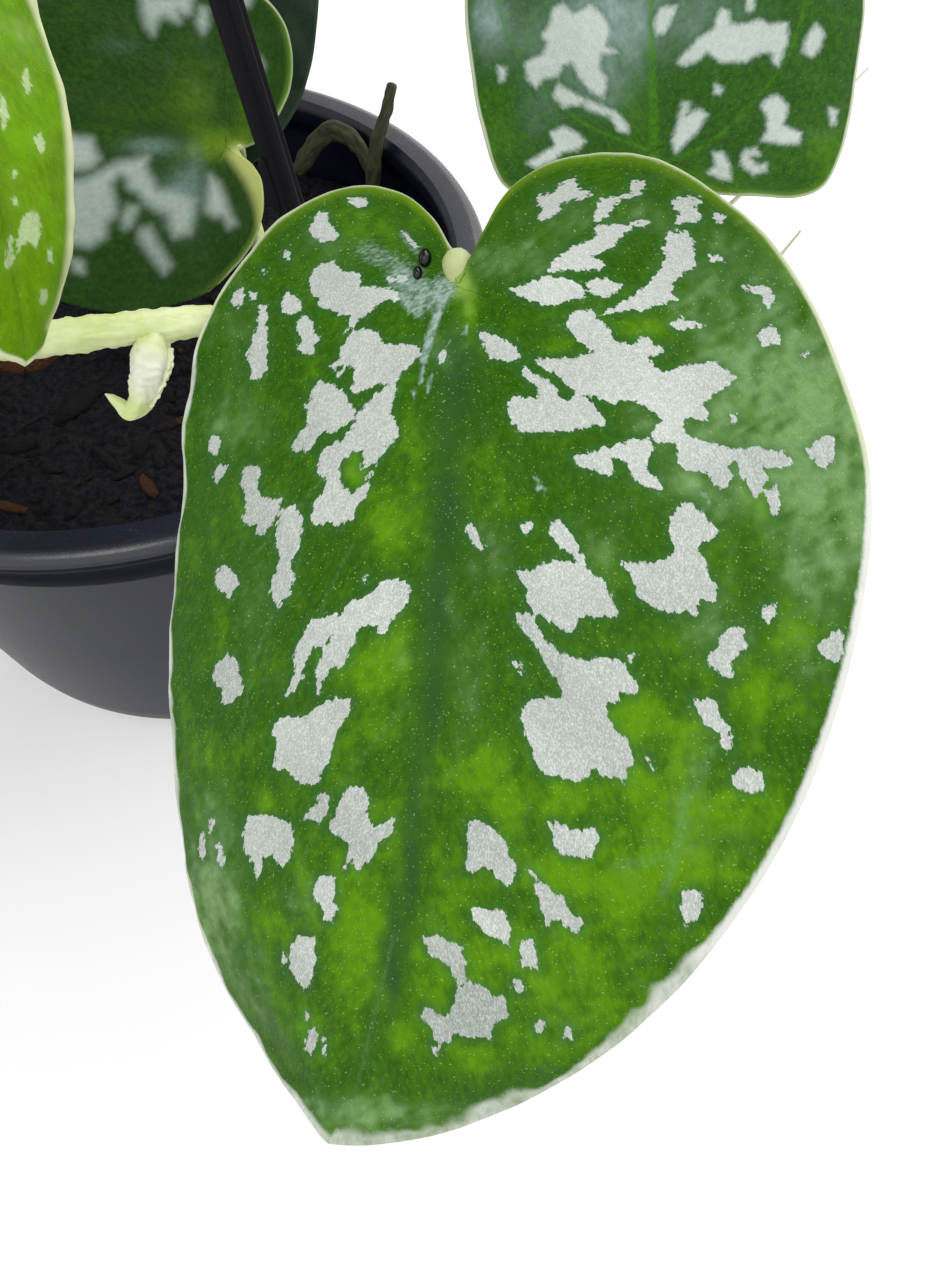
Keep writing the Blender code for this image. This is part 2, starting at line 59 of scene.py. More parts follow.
def makeCamera():
    data = bpy.data.cameras.new("camera")
    data.lens = view["lens"]
    data.sensor_width = view["sensor"]
    data.clip_start = 0.005
    data.clip_end = 20
    camera = bpy.data.objects.new("camera", data)
    camera.location = Vector(view["place"]) * mm
    camera.rotation_euler = (math.radians(view["pitch"]), 0, 0)
    bpy.context.scene.collection.objects.link(camera)
    bpy.context.scene.camera = camera


def toPhoto(points):
    # The pixel of the photograph where each point shows: its place beside the camera's axis
    # over its depth along that axis.
    pitch = math.radians(view["pitch"])
    up = np.array([0, math.cos(pitch), math.sin(pitch)])
    ahead = np.array([0, math.sin(pitch), -math.cos(pitch)])
    away = points - np.array(view["place"])
    depth = np.maximum(away @ ahead, 1)
    across = view["width"] / 2 + viewFocal * away[..., 0] / depth
    down = view["height"] / 2 - viewFocal * (away @ up) / depth
    return across, down, depth / viewFocal


makeCamera()


# Curves and numbers

def unit(vector):
    return vector / np.maximum(np.linalg.norm(vector, axis=-1, keepdims=True), 1e-9)


def ramp(low, high, value):
    share = np.clip((value - low) / (high - low), 0, 1)
    return share * share * (3 - 2 * share)


def smoothRoute(points, perSpan):
    # A Catmull-Rom curve: each span is the cubic through its two points whose slopes there
    # are half the chord between their neighbours.
    p = np.asarray(points, float)
    p = np.vstack([2 * p[0] - p[1], p, 2 * p[-1] - p[-2]])
    t = np.linspace(0, 1, perSpan, endpoint=False)[:, None]
    spans = [
        0.5 * (2 * b + (c - a) * t + (2 * a - 5 * b + 4 * c - d) * t**2 + (3 * b - a - 3 * c + d) * t**3)
        for a, b, c, d in zip(p[:-3], p[1:-2], p[2:-1], p[3:])
    ]
    return np.vstack([*spans, p[-2:-1]])


def walked(route):
    return np.r_[0, np.cumsum(np.linalg.norm(np.diff(route, axis=0), axis=1))]


def evenly(route, shares):
    at = walked(route)
    return np.stack([np.interp(np.asarray(shares) * at[-1], at, column) for column in route.T], -1)


def ripple(seed, points, size, waves=20):
    # Smooth noise of about -1 to 1: the mean of sine waves that run in seeded directions,
    # each about as long as size.
    draw = np.random.default_rng(seed)
    heading = unit(draw.normal(size=(waves, points.shape[-1])))
    pace = heading * (2 * np.pi / size) * draw.uniform(0.6, 1.5, (waves, 1))
    return np.sin(points @ pace.T + draw.uniform(0, 2 * np.pi, waves)).sum(-1) / math.sqrt(waves)


def awayFromLine(across, down, start, end):
    # Distance from the stretch between two points: what is left of the way from its start when
    # the part along it, kept within its ends, is taken off.
    (x1, y1), (x2, y2) = start, end
    runX, runY = x2 - x1, y2 - y1
    share = np.clip(((across - x1) * runX + (down - y1) * runY) / (runX**2 + runY**2), 0, 1)
    return np.hypot(across - x1 - share * runX, down - y1 - share * runY)


def aroundTube(radius, cosine, sine, length):
    # Where a tube's relief reads its noise: points on a cylinder.
    return np.stack(np.broadcast_arrays(radius * cosine, radius * sine, length), -1)


def roundedProfile(corners, reach, steps=5):
    # The corners' polygon with each inner corner cut back by reach and bridged by a quadratic curve.
    p = np.asarray(corners, float)
    before, corner, after = p[:-2], p[1:-1], p[2:]
    spanIn = np.linalg.norm(before - corner, axis=1, keepdims=True)
    spanOut = np.linalg.norm(after - corner, axis=1, keepdims=True)
    cut = np.minimum(reach, 0.45 * np.minimum(spanIn, spanOut))
    start = corner + (before - corner) / spanIn * cut
    end = corner + (after - corner) / spanOut * cut
    t = np.linspace(0, 1, steps)[None, :, None]
    bends = (1 - t) ** 2 * start[:, None] + 2 * t * (1 - t) * corner[:, None] + t**2 * end[:, None]
    return np.vstack([p[:1], bends.reshape(-1, p.shape[1]), p[-1:]])


# Meshes

def camel(name):
    first, *rest = name.split("_")
    return first + "".join(word.capitalize() for word in rest)


def patch(points, values=None, finish=0):
    return dict(points=points, values=values or {}, finish=finish)


def makePiece(name, patches, materials, stands=(), weld=0.002):
    # One object from grids of points: each grid gives a quad for every cell, the grids are
    # welded where they meet, and the values given at the points become the mesh's attributes.
    points, faces, finish, first = [], [], [], 0
    for part in patches:
        rows, columns = part["points"].shape[:2]
        corner = first + np.arange(rows - 1)[:, None] * columns + np.arange(columns - 1)
        quads = np.stack([corner, corner + 1, corner + columns + 1, corner + columns], -1).reshape(-1, 4)
        points.append(part["points"].reshape(-1, 3))
        faces.append(quads)
        finish.append(np.full(len(quads), part["finish"]))
        first += rows * columns
    mesh = bpy.data.meshes.new(name)
    mesh.from_pydata(np.concatenate(points) * mm, [], np.concatenate(faces))
    for material in materials:
        mesh.materials.append(material)
    mesh.polygons.foreach_set("material_index", np.concatenate(finish).astype(np.int32))
    for key in patches[0]["values"]:
        vector = patches[0]["values"][key].ndim == 3
        layer = mesh.attributes.new(key, "FLOAT_VECTOR" if vector else "FLOAT", "POINT")
        values = np.concatenate([part["values"][key].reshape(-1) for part in patches])
        layer.data.foreach_set("vector" if vector else "value", values.astype(np.float32))
    work = bmesh.new()
    work.from_mesh(mesh)
    bmesh.ops.remove_doubles(work, verts=work.verts, dist=weld * mm)
    bmesh.ops.recalc_face_normals(work, faces=work.faces)
    work.to_mesh(mesh)
    work.free()
    mesh.shade_smooth()
    piece = bpy.data.objects.new(name, mesh)
    bpy.context.scene.collection.objects.link(piece)
    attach(piece, "root")
    if stands:
        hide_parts(*stands)
    return piece


def carriedFrame(route):
    # Directions along a route and two across it, turned no more from one station to the next
    # than the route itself turns.
    along = unit(np.gradient(route, axis=0))
    side = np.empty_like(route)
    side[0] = unit(np.cross(along[0], (0.3, 1, 0.2)))
    for station in range(1, len(route)):
        side[station] = unit(side[station - 1] - (side[station - 1] @ along[station]) * along[station])
    return along, side, np.cross(along, side)


def tube(route, radius, sides=24, relief=None, blunt=0.6, flat=1.0, shade=0.0, seam=0.0):
    # A closed tube: at each station of the route a ring of the given radius, plus a relief that is
    # a function of the angle and the length walked. Its ends are caps that round over to a point.
    # shade is for the material, and seam is the angle where the rings begin.
    route = np.asarray(route, float)
    radius = np.broadcast_to(np.asarray(radius, float), len(route)).copy()
    quarter = np.linspace(0, np.pi / 2, 5)
    along, side, up = carriedFrame(route)
    head = route[:1] - along[:1] * radius[0] * blunt * np.cos(quarter[:-1, None])
    tail = route[-1:] + along[-1:] * radius[-1] * blunt * np.sin(quarter[1:, None])
    centre = np.vstack([head, route, tail])
    swell = np.r_[radius[0] * np.sin(quarter[:-1]), radius, radius[-1] * np.cos(quarter[1:])]
    lead, last = len(head), len(tail)
    side = np.vstack([np.repeat(side[:1], lead, 0), side, np.repeat(side[-1:], last, 0)])
    up = np.vstack([np.repeat(up[:1], lead, 0), up, np.repeat(up[-1:], last, 0)])
    angle = seam + np.linspace(0, 2 * np.pi, sides + 1)[None, :]
    length = np.r_[np.zeros(lead), walked(route), np.full(last, walked(route)[-1])][:, None]
    share = np.r_[np.zeros(lead), np.linspace(0, 1, len(route)), np.ones(last)][:, None]
    reach = swell[:, None] + np.zeros_like(angle)
    if relief:
        reach = reach + relief(np.cos(angle), np.sin(angle), length, share) * (swell / swell.max())[:, None]
        reach[0] = reach[-1] = 0
    around = np.cos(angle)[..., None] * side[:, None] + flat * np.sin(angle)[..., None] * up[:, None]
    points = centre[:, None] + reach[..., None] * around
    values = dict(
        walk=np.stack([length + 0 * angle, angle + 0 * length, share + 0 * angle], -1),
        shade=np.full(reach.shape, float(shade)),
    )
    return patch(points, values)


def turned(profile, steps, finish=0):
    # A profile of (radius, height) pairs carried round the Z axis.
    angle = np.linspace(0, 2 * np.pi, steps + 1)[:, None]
    radius, height = np.asarray(profile, float).T
    points = np.stack([radius * np.cos(angle), radius * np.sin(angle), height + 0 * angle], -1)
    return patch(points, {}, finish)


def sphere(rows, columns):
    # A unit sphere, from its lower pole to its upper one.
    tilt = np.linspace(-np.pi / 2, np.pi / 2, rows)[:, None]
    turn = np.linspace(0, 2 * np.pi, columns + 1)[None, :]
    return np.stack([np.cos(tilt) * np.cos(turn), np.cos(tilt) * np.sin(turn), np.sin(tilt) + 0 * turn], -1)


def roundedBlock(centre, axes, size, softness=0.22, rows=14, columns=28):
    # A superellipsoid: a sphere whose coordinates are raised to a small power, which squares it
    # up to a box with soft edges.
    ball = sphere(rows, columns)
    shape = np.sign(ball) * np.abs(ball) ** softness
    return patch(np.asarray(centre) + (shape * np.asarray(size) / 2) @ np.asarray(axes))


# Materials

class Link:
    # A socket in a material. Sums on it add Math nodes, and node() adds a node of any other kind.
    def __init__(self, tree, socket=None):
        self.tree = tree
        self.socket = socket

    def node(self, kind, settings=None, sockets=None, out=0):
        made = self.tree.nodes.new("ShaderNode" + kind)
        for name, value in (settings or {}).items():
            if name == "stops":
                while len(made.color_ramp.elements) < len(value):
                    made.color_ramp.elements.new(1)
                for element, (place, shade) in zip(made.color_ramp.elements, value):
                    element.position = place
                    element.color = shade
            else:
                setattr(made, name, value)
        for name, value in (sockets or {}).items():
            if isinstance(value, Link):
                self.tree.links.new(value.socket, made.inputs[name])
            else:
                made.inputs[name].default_value = value
        return Link(self.tree, made.outputs[out])

    def maths(self, operation, *values):
        return self.node("Math", {"operation": operation}, dict(enumerate(values)))

    def __add__(self, other):
        return self.maths("ADD", self, other)

    __radd__ = __add__

    def __sub__(self, other):
        return self.maths("SUBTRACT", self, other)

    def __rsub__(self, other):
        return self.maths("SUBTRACT", other, self)

    def __mul__(self, other):
        return self.maths("MULTIPLY", self, other)

    __rmul__ = __mul__

    def most(self, other):
        return self.maths("MAXIMUM", self, other)

    def least(self, other):
        return self.maths("MINIMUM", self, other)

    def size(self):
        return self.maths("ABSOLUTE", self)

    def rise(self, low, high):  # 0 at low and 1 at high, eased
        sockets = {"Value": self, "From Min": low, "From Max": high}
        return self.node("MapRange", {"interpolation_type": "SMOOTHSTEP"}, sockets)

    def blend(self, first, second):  # first where this is 0 and second where it is 1
        return self.node("Mix", {"data_type": "RGBA"}, {0: self, 6: first, 7: second}, out=2)

    def stretch(self, *factors):
        return self.node("VectorMath", {"operation": "MULTIPLY"}, {0: self, 1: factors})

    def noise(self, scale, detail=2.0, roughness=0.5, out="Fac", **more):
        sockets = {"Vector": self, "Scale": scale, "Detail": detail, "Roughness": roughness, **more}
        return self.node("TexNoise", {}, sockets, out=out)

    def part(self, axis):
        return self.node("SeparateXYZ", {}, {0: self}, out=axis)


whiteLevel = 0.66  # what a surface that shows as white sends back, as the light burns a full white out


def tint(red, green, blue, level=whiteLevel):
    # A screen colour of 0 to 255 a channel, as the linear values that a shader takes.
    share = np.array([red, green, blue]) / 255
    linear = np.where(share <= 0.04045, share / 12.92, ((share + 0.055) / 1.055) ** 2.4)
    return (*map(float, linear * level), 1.0)


def newMaterial(name):
    material = bpy.data.materials.new(name)
    material.use_nodes = True
    tree = material.node_tree
    shader = tree.nodes["Principled BSDF"]
    root = Link(tree)
    place = root.node("TexCoord", {}, {}, out="Object").stretch(1000, 1000, 1000)  # in millimetres

    def finish(base, roughness, height=None, **constants):
        tree.links.new(base.socket, shader.inputs["Base Color"])
        if isinstance(roughness, Link):
            tree.links.new(roughness.socket, shader.inputs["Roughness"])
        else:
            shader.inputs["Roughness"].default_value = roughness
        if height is not None:  # the height is in millimetres
            bump = root.node("Bump", {}, {"Strength": 1.0, "Distance": mm, "Height": height})
            tree.links.new(bump.socket, shader.inputs["Normal"])
        for key, value in constants.items():
            shader.inputs[key.replace("_", " ")].default_value = value
        return material

    return root, place, finish


def named(root, name, kind="Fac"):
    return root.node("Attribute", {"attribute_name": name}, {}, out=kind)


def leafTop(name, tone):
    # The upper face of a blade. Broad things come as values of the points: glow and band of the green,
    # mist, a painted sheen over it, depth inside a blotch, distance from the margin and width of its
    # fringe, green rim of the lobes, a painted highlight, pale notch, wet film, a painted reflection with
    # painted glints and a few white specks, and lines, the silver's painted sheen and shade, and tone of
    # the frost, a painted sheen on the margin. Fine noise along the veins tears their edges.
    root, place, finish = newMaterial(name)
    vein = named(root, "vein", "Vector")
    mottle = named(root, "mottle", "Vector")
    marks = named(root, "marks", "Vector")
    touch = named(root, "touch", "Vector")
    glow, band, mist = mottle.part(0), mottle.part(1), mottle.part(2)
    silver, edge, fringe = marks.part(0), marks.part(1), marks.part(2)
    fibre = vein.stretch(1.0, 0.6, 1.0).noise(1.2, 4, 0.64)
    grain = vein.stretch(1.0, 0.55, 1.0).noise(4.6, 1, 0.6)
    fine = fibre.rise(0.34, 0.66)
    squiggle = 1 - (grain - 0.5).size().rise(0.0, 0.045)
    calm = max(1 - tone["soft"], 0)
    torn = (fibre - 0.5) * 0.9 * calm
    green = (fine * 0.6 + glow * 0.4).least(1).blend(tint(*tone["deep"]), tint(*tone["mid"]))
    shine = (glow + torn * 0.28).rise(0.0, 1.0) * (fine * 0.25 + 0.75)
    green = shine.blend(green, tint(*tone["bright"]))
    green = ((band + torn * 0.5).rise(0.0, 0.9) * (fine * 0.4 + 0.5)).blend(green, tint(*tone["dark"]))
    # The mist is a painted sheen: a milky pale wash where the leaf reflects light.
    veil = (mist - torn * 0.35).rise(0.0, 1.0) * (squiggle * 0.25 + fine * 0.2 + 0.65)
    green = veil.least(1).blend(green, tint(*tone["mist"]))
    speck = place.noise(4.4, 0)
    green = (speck.rise(0.73, 0.82) * tone["speck"]).blend(green, tint(*tone["fleck"]))
    lines = named(root, "lines", "Vector")
    green = (lines.part(0) * (fine * 0.8 + 0.3)).blend(green, tint(*tone["line"]))
    ring = silver.rise(-1.1, 0.1) * 0.45
    green = ring.blend(green, tint(*tone["ring"]))
    mark = (silver + (fibre - 0.5) * 1.5 * calm).rise(-0.05 - tone["soft"], 0.06 + tone["soft"])
    # How bright the silver is: grain, plus its painted sheen, painted highlight where light falls and
    # painted shade where it does not.
    bright = (grain.rise(0.36, 0.64) * 0.34 - squiggle * 0.32) * calm + fine * 0.14 + lines.part(1) * 0.5
    shine = bright.blend(tint(*tone["silverLow"]), tint(*tone["silverHigh"]))
    colour = (mark * tone["silver"]).blend(green, shine)
    # A yellow-green rim round the lobes: painted highlight where their edges turn up to the light.
    lobe = touch.part(0)
    colour = lobe.blend(colour, tint(*tone["rim"]))
    pale = (1 - (edge + torn * 0.2 + lobe * 0.5).rise(0.3, 0.62)) * (tone["margin"] - lobe * 0.4)
    colour = pale.blend(colour, tint(*tone["pale"]))
    # The frost: a silvery fringe along the margin, painted sheen where the rolled-down edge reflects light.
    frayed = edge + (fibre - 0.5) * fringe * 0.6
    frost = (1 - frayed.rise(fringe * 0.55, fringe * 1.15)) * fringe.rise(0.2, 0.6) * 0.92
    frostSheenTone = (lines.part(2) + fine * 0.3).least(1).blend(tint(*tone["frostSheenLow"]), tint(*tone["frost"]))
    colour = frost.blend(colour, frostSheenTone)
    colour = touch.part(1).blend(colour, tint(*tone["notch"]))
    # The wet film: its pale blue-white reflection is painted, with painted glints and a few white specks,
    # and it is less rough there.
    wet = (touch.part(2) + torn * 1.1).rise(0.2, 1.0) * (fine * 0.4 + squiggle * 0.1 + 0.32)
    colour = wet.blend(colour, tint(178, 198, 196))
    height = ((fibre - 0.5) * 0.07 * calm + grain * (mark * 0.02 + 0.004)) * vein.part(1).rise(0.5, 4.0)
    rough = tone["rough"] + (fine * 0.08 + mark * 0.16 - wet * 0.2)
    return finish(colour, rough, height, Specular_IOR_Level=tone["gloss"])


def leafUnder(name, base, rib):
    # The lower face: plain pale green, with the net of veins showing a little lighter.
    root, place, finish = newMaterial(name)
    vein = named(root, "vein", "Vector")
    cloud = place.noise(0.2, 4, 0.6)
    line = vein.part(0).maths("PINGPONG", vein.part(0) + (cloud - 0.5) * 2, 3.6)
    line = 1 - line.rise(0.0, 0.45)
    keel = 1 - named(root, "rib").rise(0.3, 1.6)
    cells = {"Vector": place, "Scale": 0.55}
    net = place.node("TexVoronoi", {"feature": "DISTANCE_TO_EDGE"}, cells, out="Distance")
    net = 1 - net.rise(0.0, 0.09)
    colour = cloud.rise(0.35, 0.65).blend(tint(*base), tint(*[channel * 0.86 for channel in base]))
    colour = (line * 0.4).most(keel * 0.8).most(net * 0.16).blend(colour, tint(*rib))
    rim = 1 - named(root, "marks", "Vector").part(1).rise(0.2, 0.7)
    colour = (rim * 0.85).blend(colour, tint(104, 140, 34))
    height = line * 0.06 + net * 0.02 + place.noise(2.5, 3) * 0.03
    return finish(colour, 0.55, height, Specular_IOR_Level=0.35)


def stemMaterial(name, tone):
    # Living stem: pale flesh with fine lines along it, papery scraps and small brown scars. The
    # value shade turns it to the shoot's white above 0, and to the green of a stalk's end below.
    root, place, finish = newMaterial(name)
    walk = named(root, "walk", "Vector")
    shade = named(root, "shade")
    lines = walk.stretch(0.35, 3.2, 1.0).noise(1.6, 3, 0.6)
    cloud = place.noise(0.16, 3, 0.6)
    colour = cloud.rise(0.35, 0.65).blend(tint(*tone["pale"]), tint(*tone["green"]))
    colour = (lines.rise(0.45, 0.7) * 0.28).blend(colour, tint(*tone["light"]))
    scar = place.noise(0.9, 3, 0.7).rise(0.7, 0.74)
    colour = (scar * 0.5).blend(colour, tint(*tone["scar"]))
    colour = shade.blend(colour, tint(*tone["shoot"]))
    colour = (shade * -1).blend(colour, tint(*tone["end"]))
    wrinkle = walk.stretch(1.0, 0.35, 1.0).noise(2.2, 3, 0.6)
    height = lines * 0.03 + place.noise(4.0, 2) * 0.02 + wrinkle * (shade * 0.12 + 0.03)
    return finish(colour, 0.5, height, Specular_IOR_Level=0.4)


def dryMaterial(name):
    root, place, finish = newMaterial(name)
    walk = named(root, "walk", "Vector")
    fibre = walk.stretch(0.25, 4.0, 1.0).noise(1.8, 4, 0.7)
    colour = fibre.rise(0.35, 0.68).blend(tint(46, 50, 32), tint(96, 100, 70))
    colour = place.noise(0.3, 3).rise(0.5, 0.7).blend(colour, tint(70, 66, 44))
    return finish(colour, 0.75, fibre * 0.2 + place.noise(3, 3) * 0.06, Specular_IOR_Level=0.3)


def blackPlastic(name, shade, scuff, rough, gloss=0.5):
    # Moulded polypropylene: an even fine grain, faint flow marks, and dust in the scuffs.
    root, place, finish = newMaterial(name)
    flow = place.stretch(1, 1, 0.25).noise(0.06, 2, 0.6)
    grain = place.noise(2.6, 2, 0.6)
    dust = place.stretch(1, 1, 3).noise(0.4, 3, 0.7).rise(0.55, 0.8)
    colour = flow.rise(0.3, 0.7).blend(tint(*shade), tint(*[channel * 1.25 for channel in shade]))
    colour = (dust * scuff).blend(colour, tint(120, 122, 130))
    return finish(colour, grain * 0.12 + rough + dust * 0.1, grain * 0.02, Specular_IOR_Level=gloss)


def soilMaterial(name):
    root, place, finish = newMaterial(name)
    crumb = place.noise(0.9, 4, 0.7)
    cell = place.node("TexVoronoi", {}, {"Vector": place, "Scale": 0.7}, out="Color")
    pick = cell.part(0)
    colour = crumb.rise(0.35, 0.7).blend(tint(15, 15, 20), tint(42, 42, 54))
    colour = pick.rise(0.9, 0.94).blend(colour, tint(44, 37, 35))
    return finish(colour, 0.92, crumb * 0.9 + pick * 0.3, Specular_IOR_Level=0.15)


def chipMaterial(name):
    root, place, finish = newMaterial(name)
    shade = named(root, "shade")
    grain = place.stretch(1, 3, 1).noise(0.8, 4, 0.7)
    dark = grain.rise(0.3, 0.7).blend(tint(12, 11, 13), tint(34, 31, 34))
    red = grain.rise(0.3, 0.7).blend(tint(52, 32, 20), tint(92, 60, 36))
    colour = shade.rise(0.86, 0.94).blend(dark, red)
    return finish(colour, 0.85, grain * 0.3, Specular_IOR_Level=0.15)


def beadMaterial(name):
    root, place, finish = newMaterial(name)
    colour = place.noise(2.0, 2).rise(0.3, 0.7).blend(tint(4, 4, 8), tint(16, 13, 20))
    return finish(colour, 0.08, place.noise(3.0, 1) * 0.04, Specular_IOR_Level=0.3)


# Each tone's mist is a painted sheen over the green, its frost the painted sheen of the margin's fringe, and
# its rim a painted highlight on the lobes.
leafTones = dict(
    front=dict(
        deep=(40, 84, 4), mid=(62, 110, 8), bright=(92, 146, 2), dark=(42, 78, 40), mist=(126, 162, 104),
        speck=0.6, fleck=(150, 184, 112), line=(104, 144, 96), ring=(50, 104, 52), soft=0.0, gloss=0.05,
        silverLow=(140, 150, 142), silverHigh=(226, 230, 224), silver=1.0, rim=(112, 148, 22),
        frostSheenLow=(140, 158, 124), frost=(222, 225, 218), pale=(210, 218, 184), margin=0.9,
        notch=(150, 182, 84), rough=0.4,
    ),
    # The near-left leaf: its greens lightened as painted light shining through it from behind.
    bright=dict(
        deep=(92, 138, 6), mid=(116, 160, 20), bright=(112, 168, 0), dark=(92, 136, 20),
        mist=(150, 182, 110), speck=0.3, fleck=(176, 206, 100), line=(120, 166, 30), ring=(116, 164, 40),
        soft=0.1, gloss=0.06, silverLow=(166, 192, 126), silverHigh=(210, 226, 184), silver=0.85,
        rim=(168, 190, 70), frostSheenLow=(176, 198, 110), frost=(214, 222, 170), pale=(226, 230, 192),
        margin=0.95, notch=(220, 226, 178), rough=0.42,
    ),
    # The leaf deep inside the plant: its greens darkened as painted shade.
    dark=dict(
        deep=(16, 34, 20), mid=(26, 48, 30), bright=(30, 56, 26), dark=(14, 30, 22), mist=(40, 60, 50),
        speck=0.0, fleck=(80, 104, 70), line=(24, 46, 26), ring=(26, 46, 34), soft=0.2, gloss=0.05,
        silverLow=(90, 112, 104), silverHigh=(120, 140, 130), silver=0.4, rim=(34, 56, 30),
        frostSheenLow=(40, 60, 40), frost=(56, 78, 54), pale=(56, 78, 54), margin=0.3, notch=(50, 74, 44),
        rough=0.5,
    ),
    mature=dict(
        deep=(34, 72, 14), mid=(54, 102, 16), bright=(82, 136, 4), dark=(34, 68, 32),
        mist=(150, 172, 172), speck=0.3, fleck=(140, 172, 110), line=(62, 122, 6), ring=(44, 90, 54),
        soft=0.5, gloss=0.07, silverLow=(160, 174, 166), silverHigh=(222, 230, 222), silver=0.95,
        rim=(112, 148, 40), frostSheenLow=(130, 152, 100), frost=(196, 204, 176), pale=(204, 212, 182),
        margin=0.8, notch=(150, 172, 78), rough=0.4,
    ),
    shaded=dict(
        deep=(24, 52, 12), mid=(40, 78, 14), bright=(104, 138, 14), dark=(22, 48, 22),
        mist=(128, 152, 148), speck=0.1, fleck=(110, 140, 90), line=(92, 132, 20), ring=(36, 76, 48),
        soft=1.3, gloss=0.06, silverLow=(130, 148, 136), silverHigh=(214, 222, 216), silver=0.85,
        rim=(104, 138, 40), frostSheenLow=(120, 142, 90), frost=(176, 190, 150), pale=(184, 198, 158),
        margin=0.75, notch=(184, 190, 112), rough=0.42,
    ),
)
leafTops = {key: leafTop(key + "LeafTop", tone) for key, tone in leafTones.items()}
leafBelow = leafUnder("leafBelow", (132, 164, 92), (176, 196, 128))
stemTone = dict(
    pale=(216, 226, 168), green=(196, 214, 126), light=(236, 240, 204), scar=(150, 140, 70),
    shoot=(226, 226, 214), end=(176, 186, 128),
)
stemFlesh = stemMaterial("stemFlesh", stemTone)
dryFlesh = dryMaterial("dryFlesh")
# One plastic in three copies that differ to paint light: the lip glossier for a stronger highlight, the wall
# duller so that it reflects less, and the groove dull, a painted shade under the lip.
potPlastic = blackPlastic("potPlastic", (15, 18, 34), 0.05, 0.2, 0.5)
wallPlastic = blackPlastic("wallPlastic", (12, 15, 34), 0.05, 0.3, 0.26)
grooveShadePlastic = blackPlastic("grooveShadePlastic", (20, 22, 30), 0.02, 0.5, 0.08)
hangerPlastic = blackPlastic("hangerPlastic", (12, 12, 17), 0.02, 0.45, 0.08)
soilMix = soilMaterial("soilMix")
barkMix = chipMaterial("barkMix")
beadGloss = beadMaterial("beadGloss")
print("materials made:", len(bpy.data.materials))


# Leaves

heart = (
    (0, 1.0), (4, 0.975), (11, 0.93), (20, 0.82), (31, 0.68), (44, 0.575), (60, 0.48), (76, 0.40),
    (94, 0.325), (112, 0.26), (130, 0.205), (146, 0.15), (157, 0.095), (162, 0.05), (180, 0.032),
)
blunt = (
    (0, 1.0), (4, 0.98), (11, 0.95), (20, 0.86), (31, 0.735), (44, 0.63), (60, 0.54), (76, 0.465),
    (94, 0.405), (110, 0.335), (126, 0.25), (142, 0.165), (154, 0.095), (162, 0.05), (180, 0.032),
)
shallow = (
    (0, 1.0), (4, 0.98), (11, 0.95), (20, 0.87), (31, 0.76), (44, 0.65), (60, 0.55), (76, 0.46),
    (94, 0.375), (110, 0.285), (126, 0.20), (142, 0.13), (154, 0.08), (162, 0.045), (180, 0.03),
)
square = (
    (0, 1.0), (4, 0.98), (11, 0.94), (20, 0.84), (31, 0.71), (44, 0.59), (56, 0.51), (68, 0.44),
    (80, 0.395), (92, 0.362), (100, 0.335), (106, 0.28), (112, 0.20), (122, 0.13), (138, 0.085),
    (160, 0.05), (180, 0.03),
)
frontNarrow = (
    (0, 1.0), (3, 0.977), (10, 0.95), (17, 0.85), (25, 0.707), (36, 0.57), (50, 0.462), (66, 0.395),
    (85, 0.317), (104, 0.238), (123, 0.19), (140, 0.135), (152, 0.088), (161, 0.05), (180, 0.032),
)
frontWide = (
    (0, 1.0), (4, 0.988), (9, 0.965), (17, 0.90), (27, 0.808), (39, 0.705), (53, 0.60), (69, 0.507),
    (86, 0.408), (103, 0.326), (121, 0.253), (139, 0.182), (153, 0.132), (160, 0.085), (152, 0.045),
    (180, 0.032),
)

# What a leaf has unless its own entry says otherwise: outlines of the halves as (degrees from
# the midrib, share of the length), how wide each is drawn, the bow of the midrib, and the arch,
# fold, droop of the margins and lift of the lobes as shares of the length.
leafPlain = dict(
    roll=0, left=heart, right=heart, wideLeft=1.0, wideRight=1.0, bow=0.0, arch=0.06, fold=0.0,
    dropLeft=0.08, dropRight=0.08, lift=0.03, rows=90, columns=34, tone="mature", spots=26, knob=1.0,
)

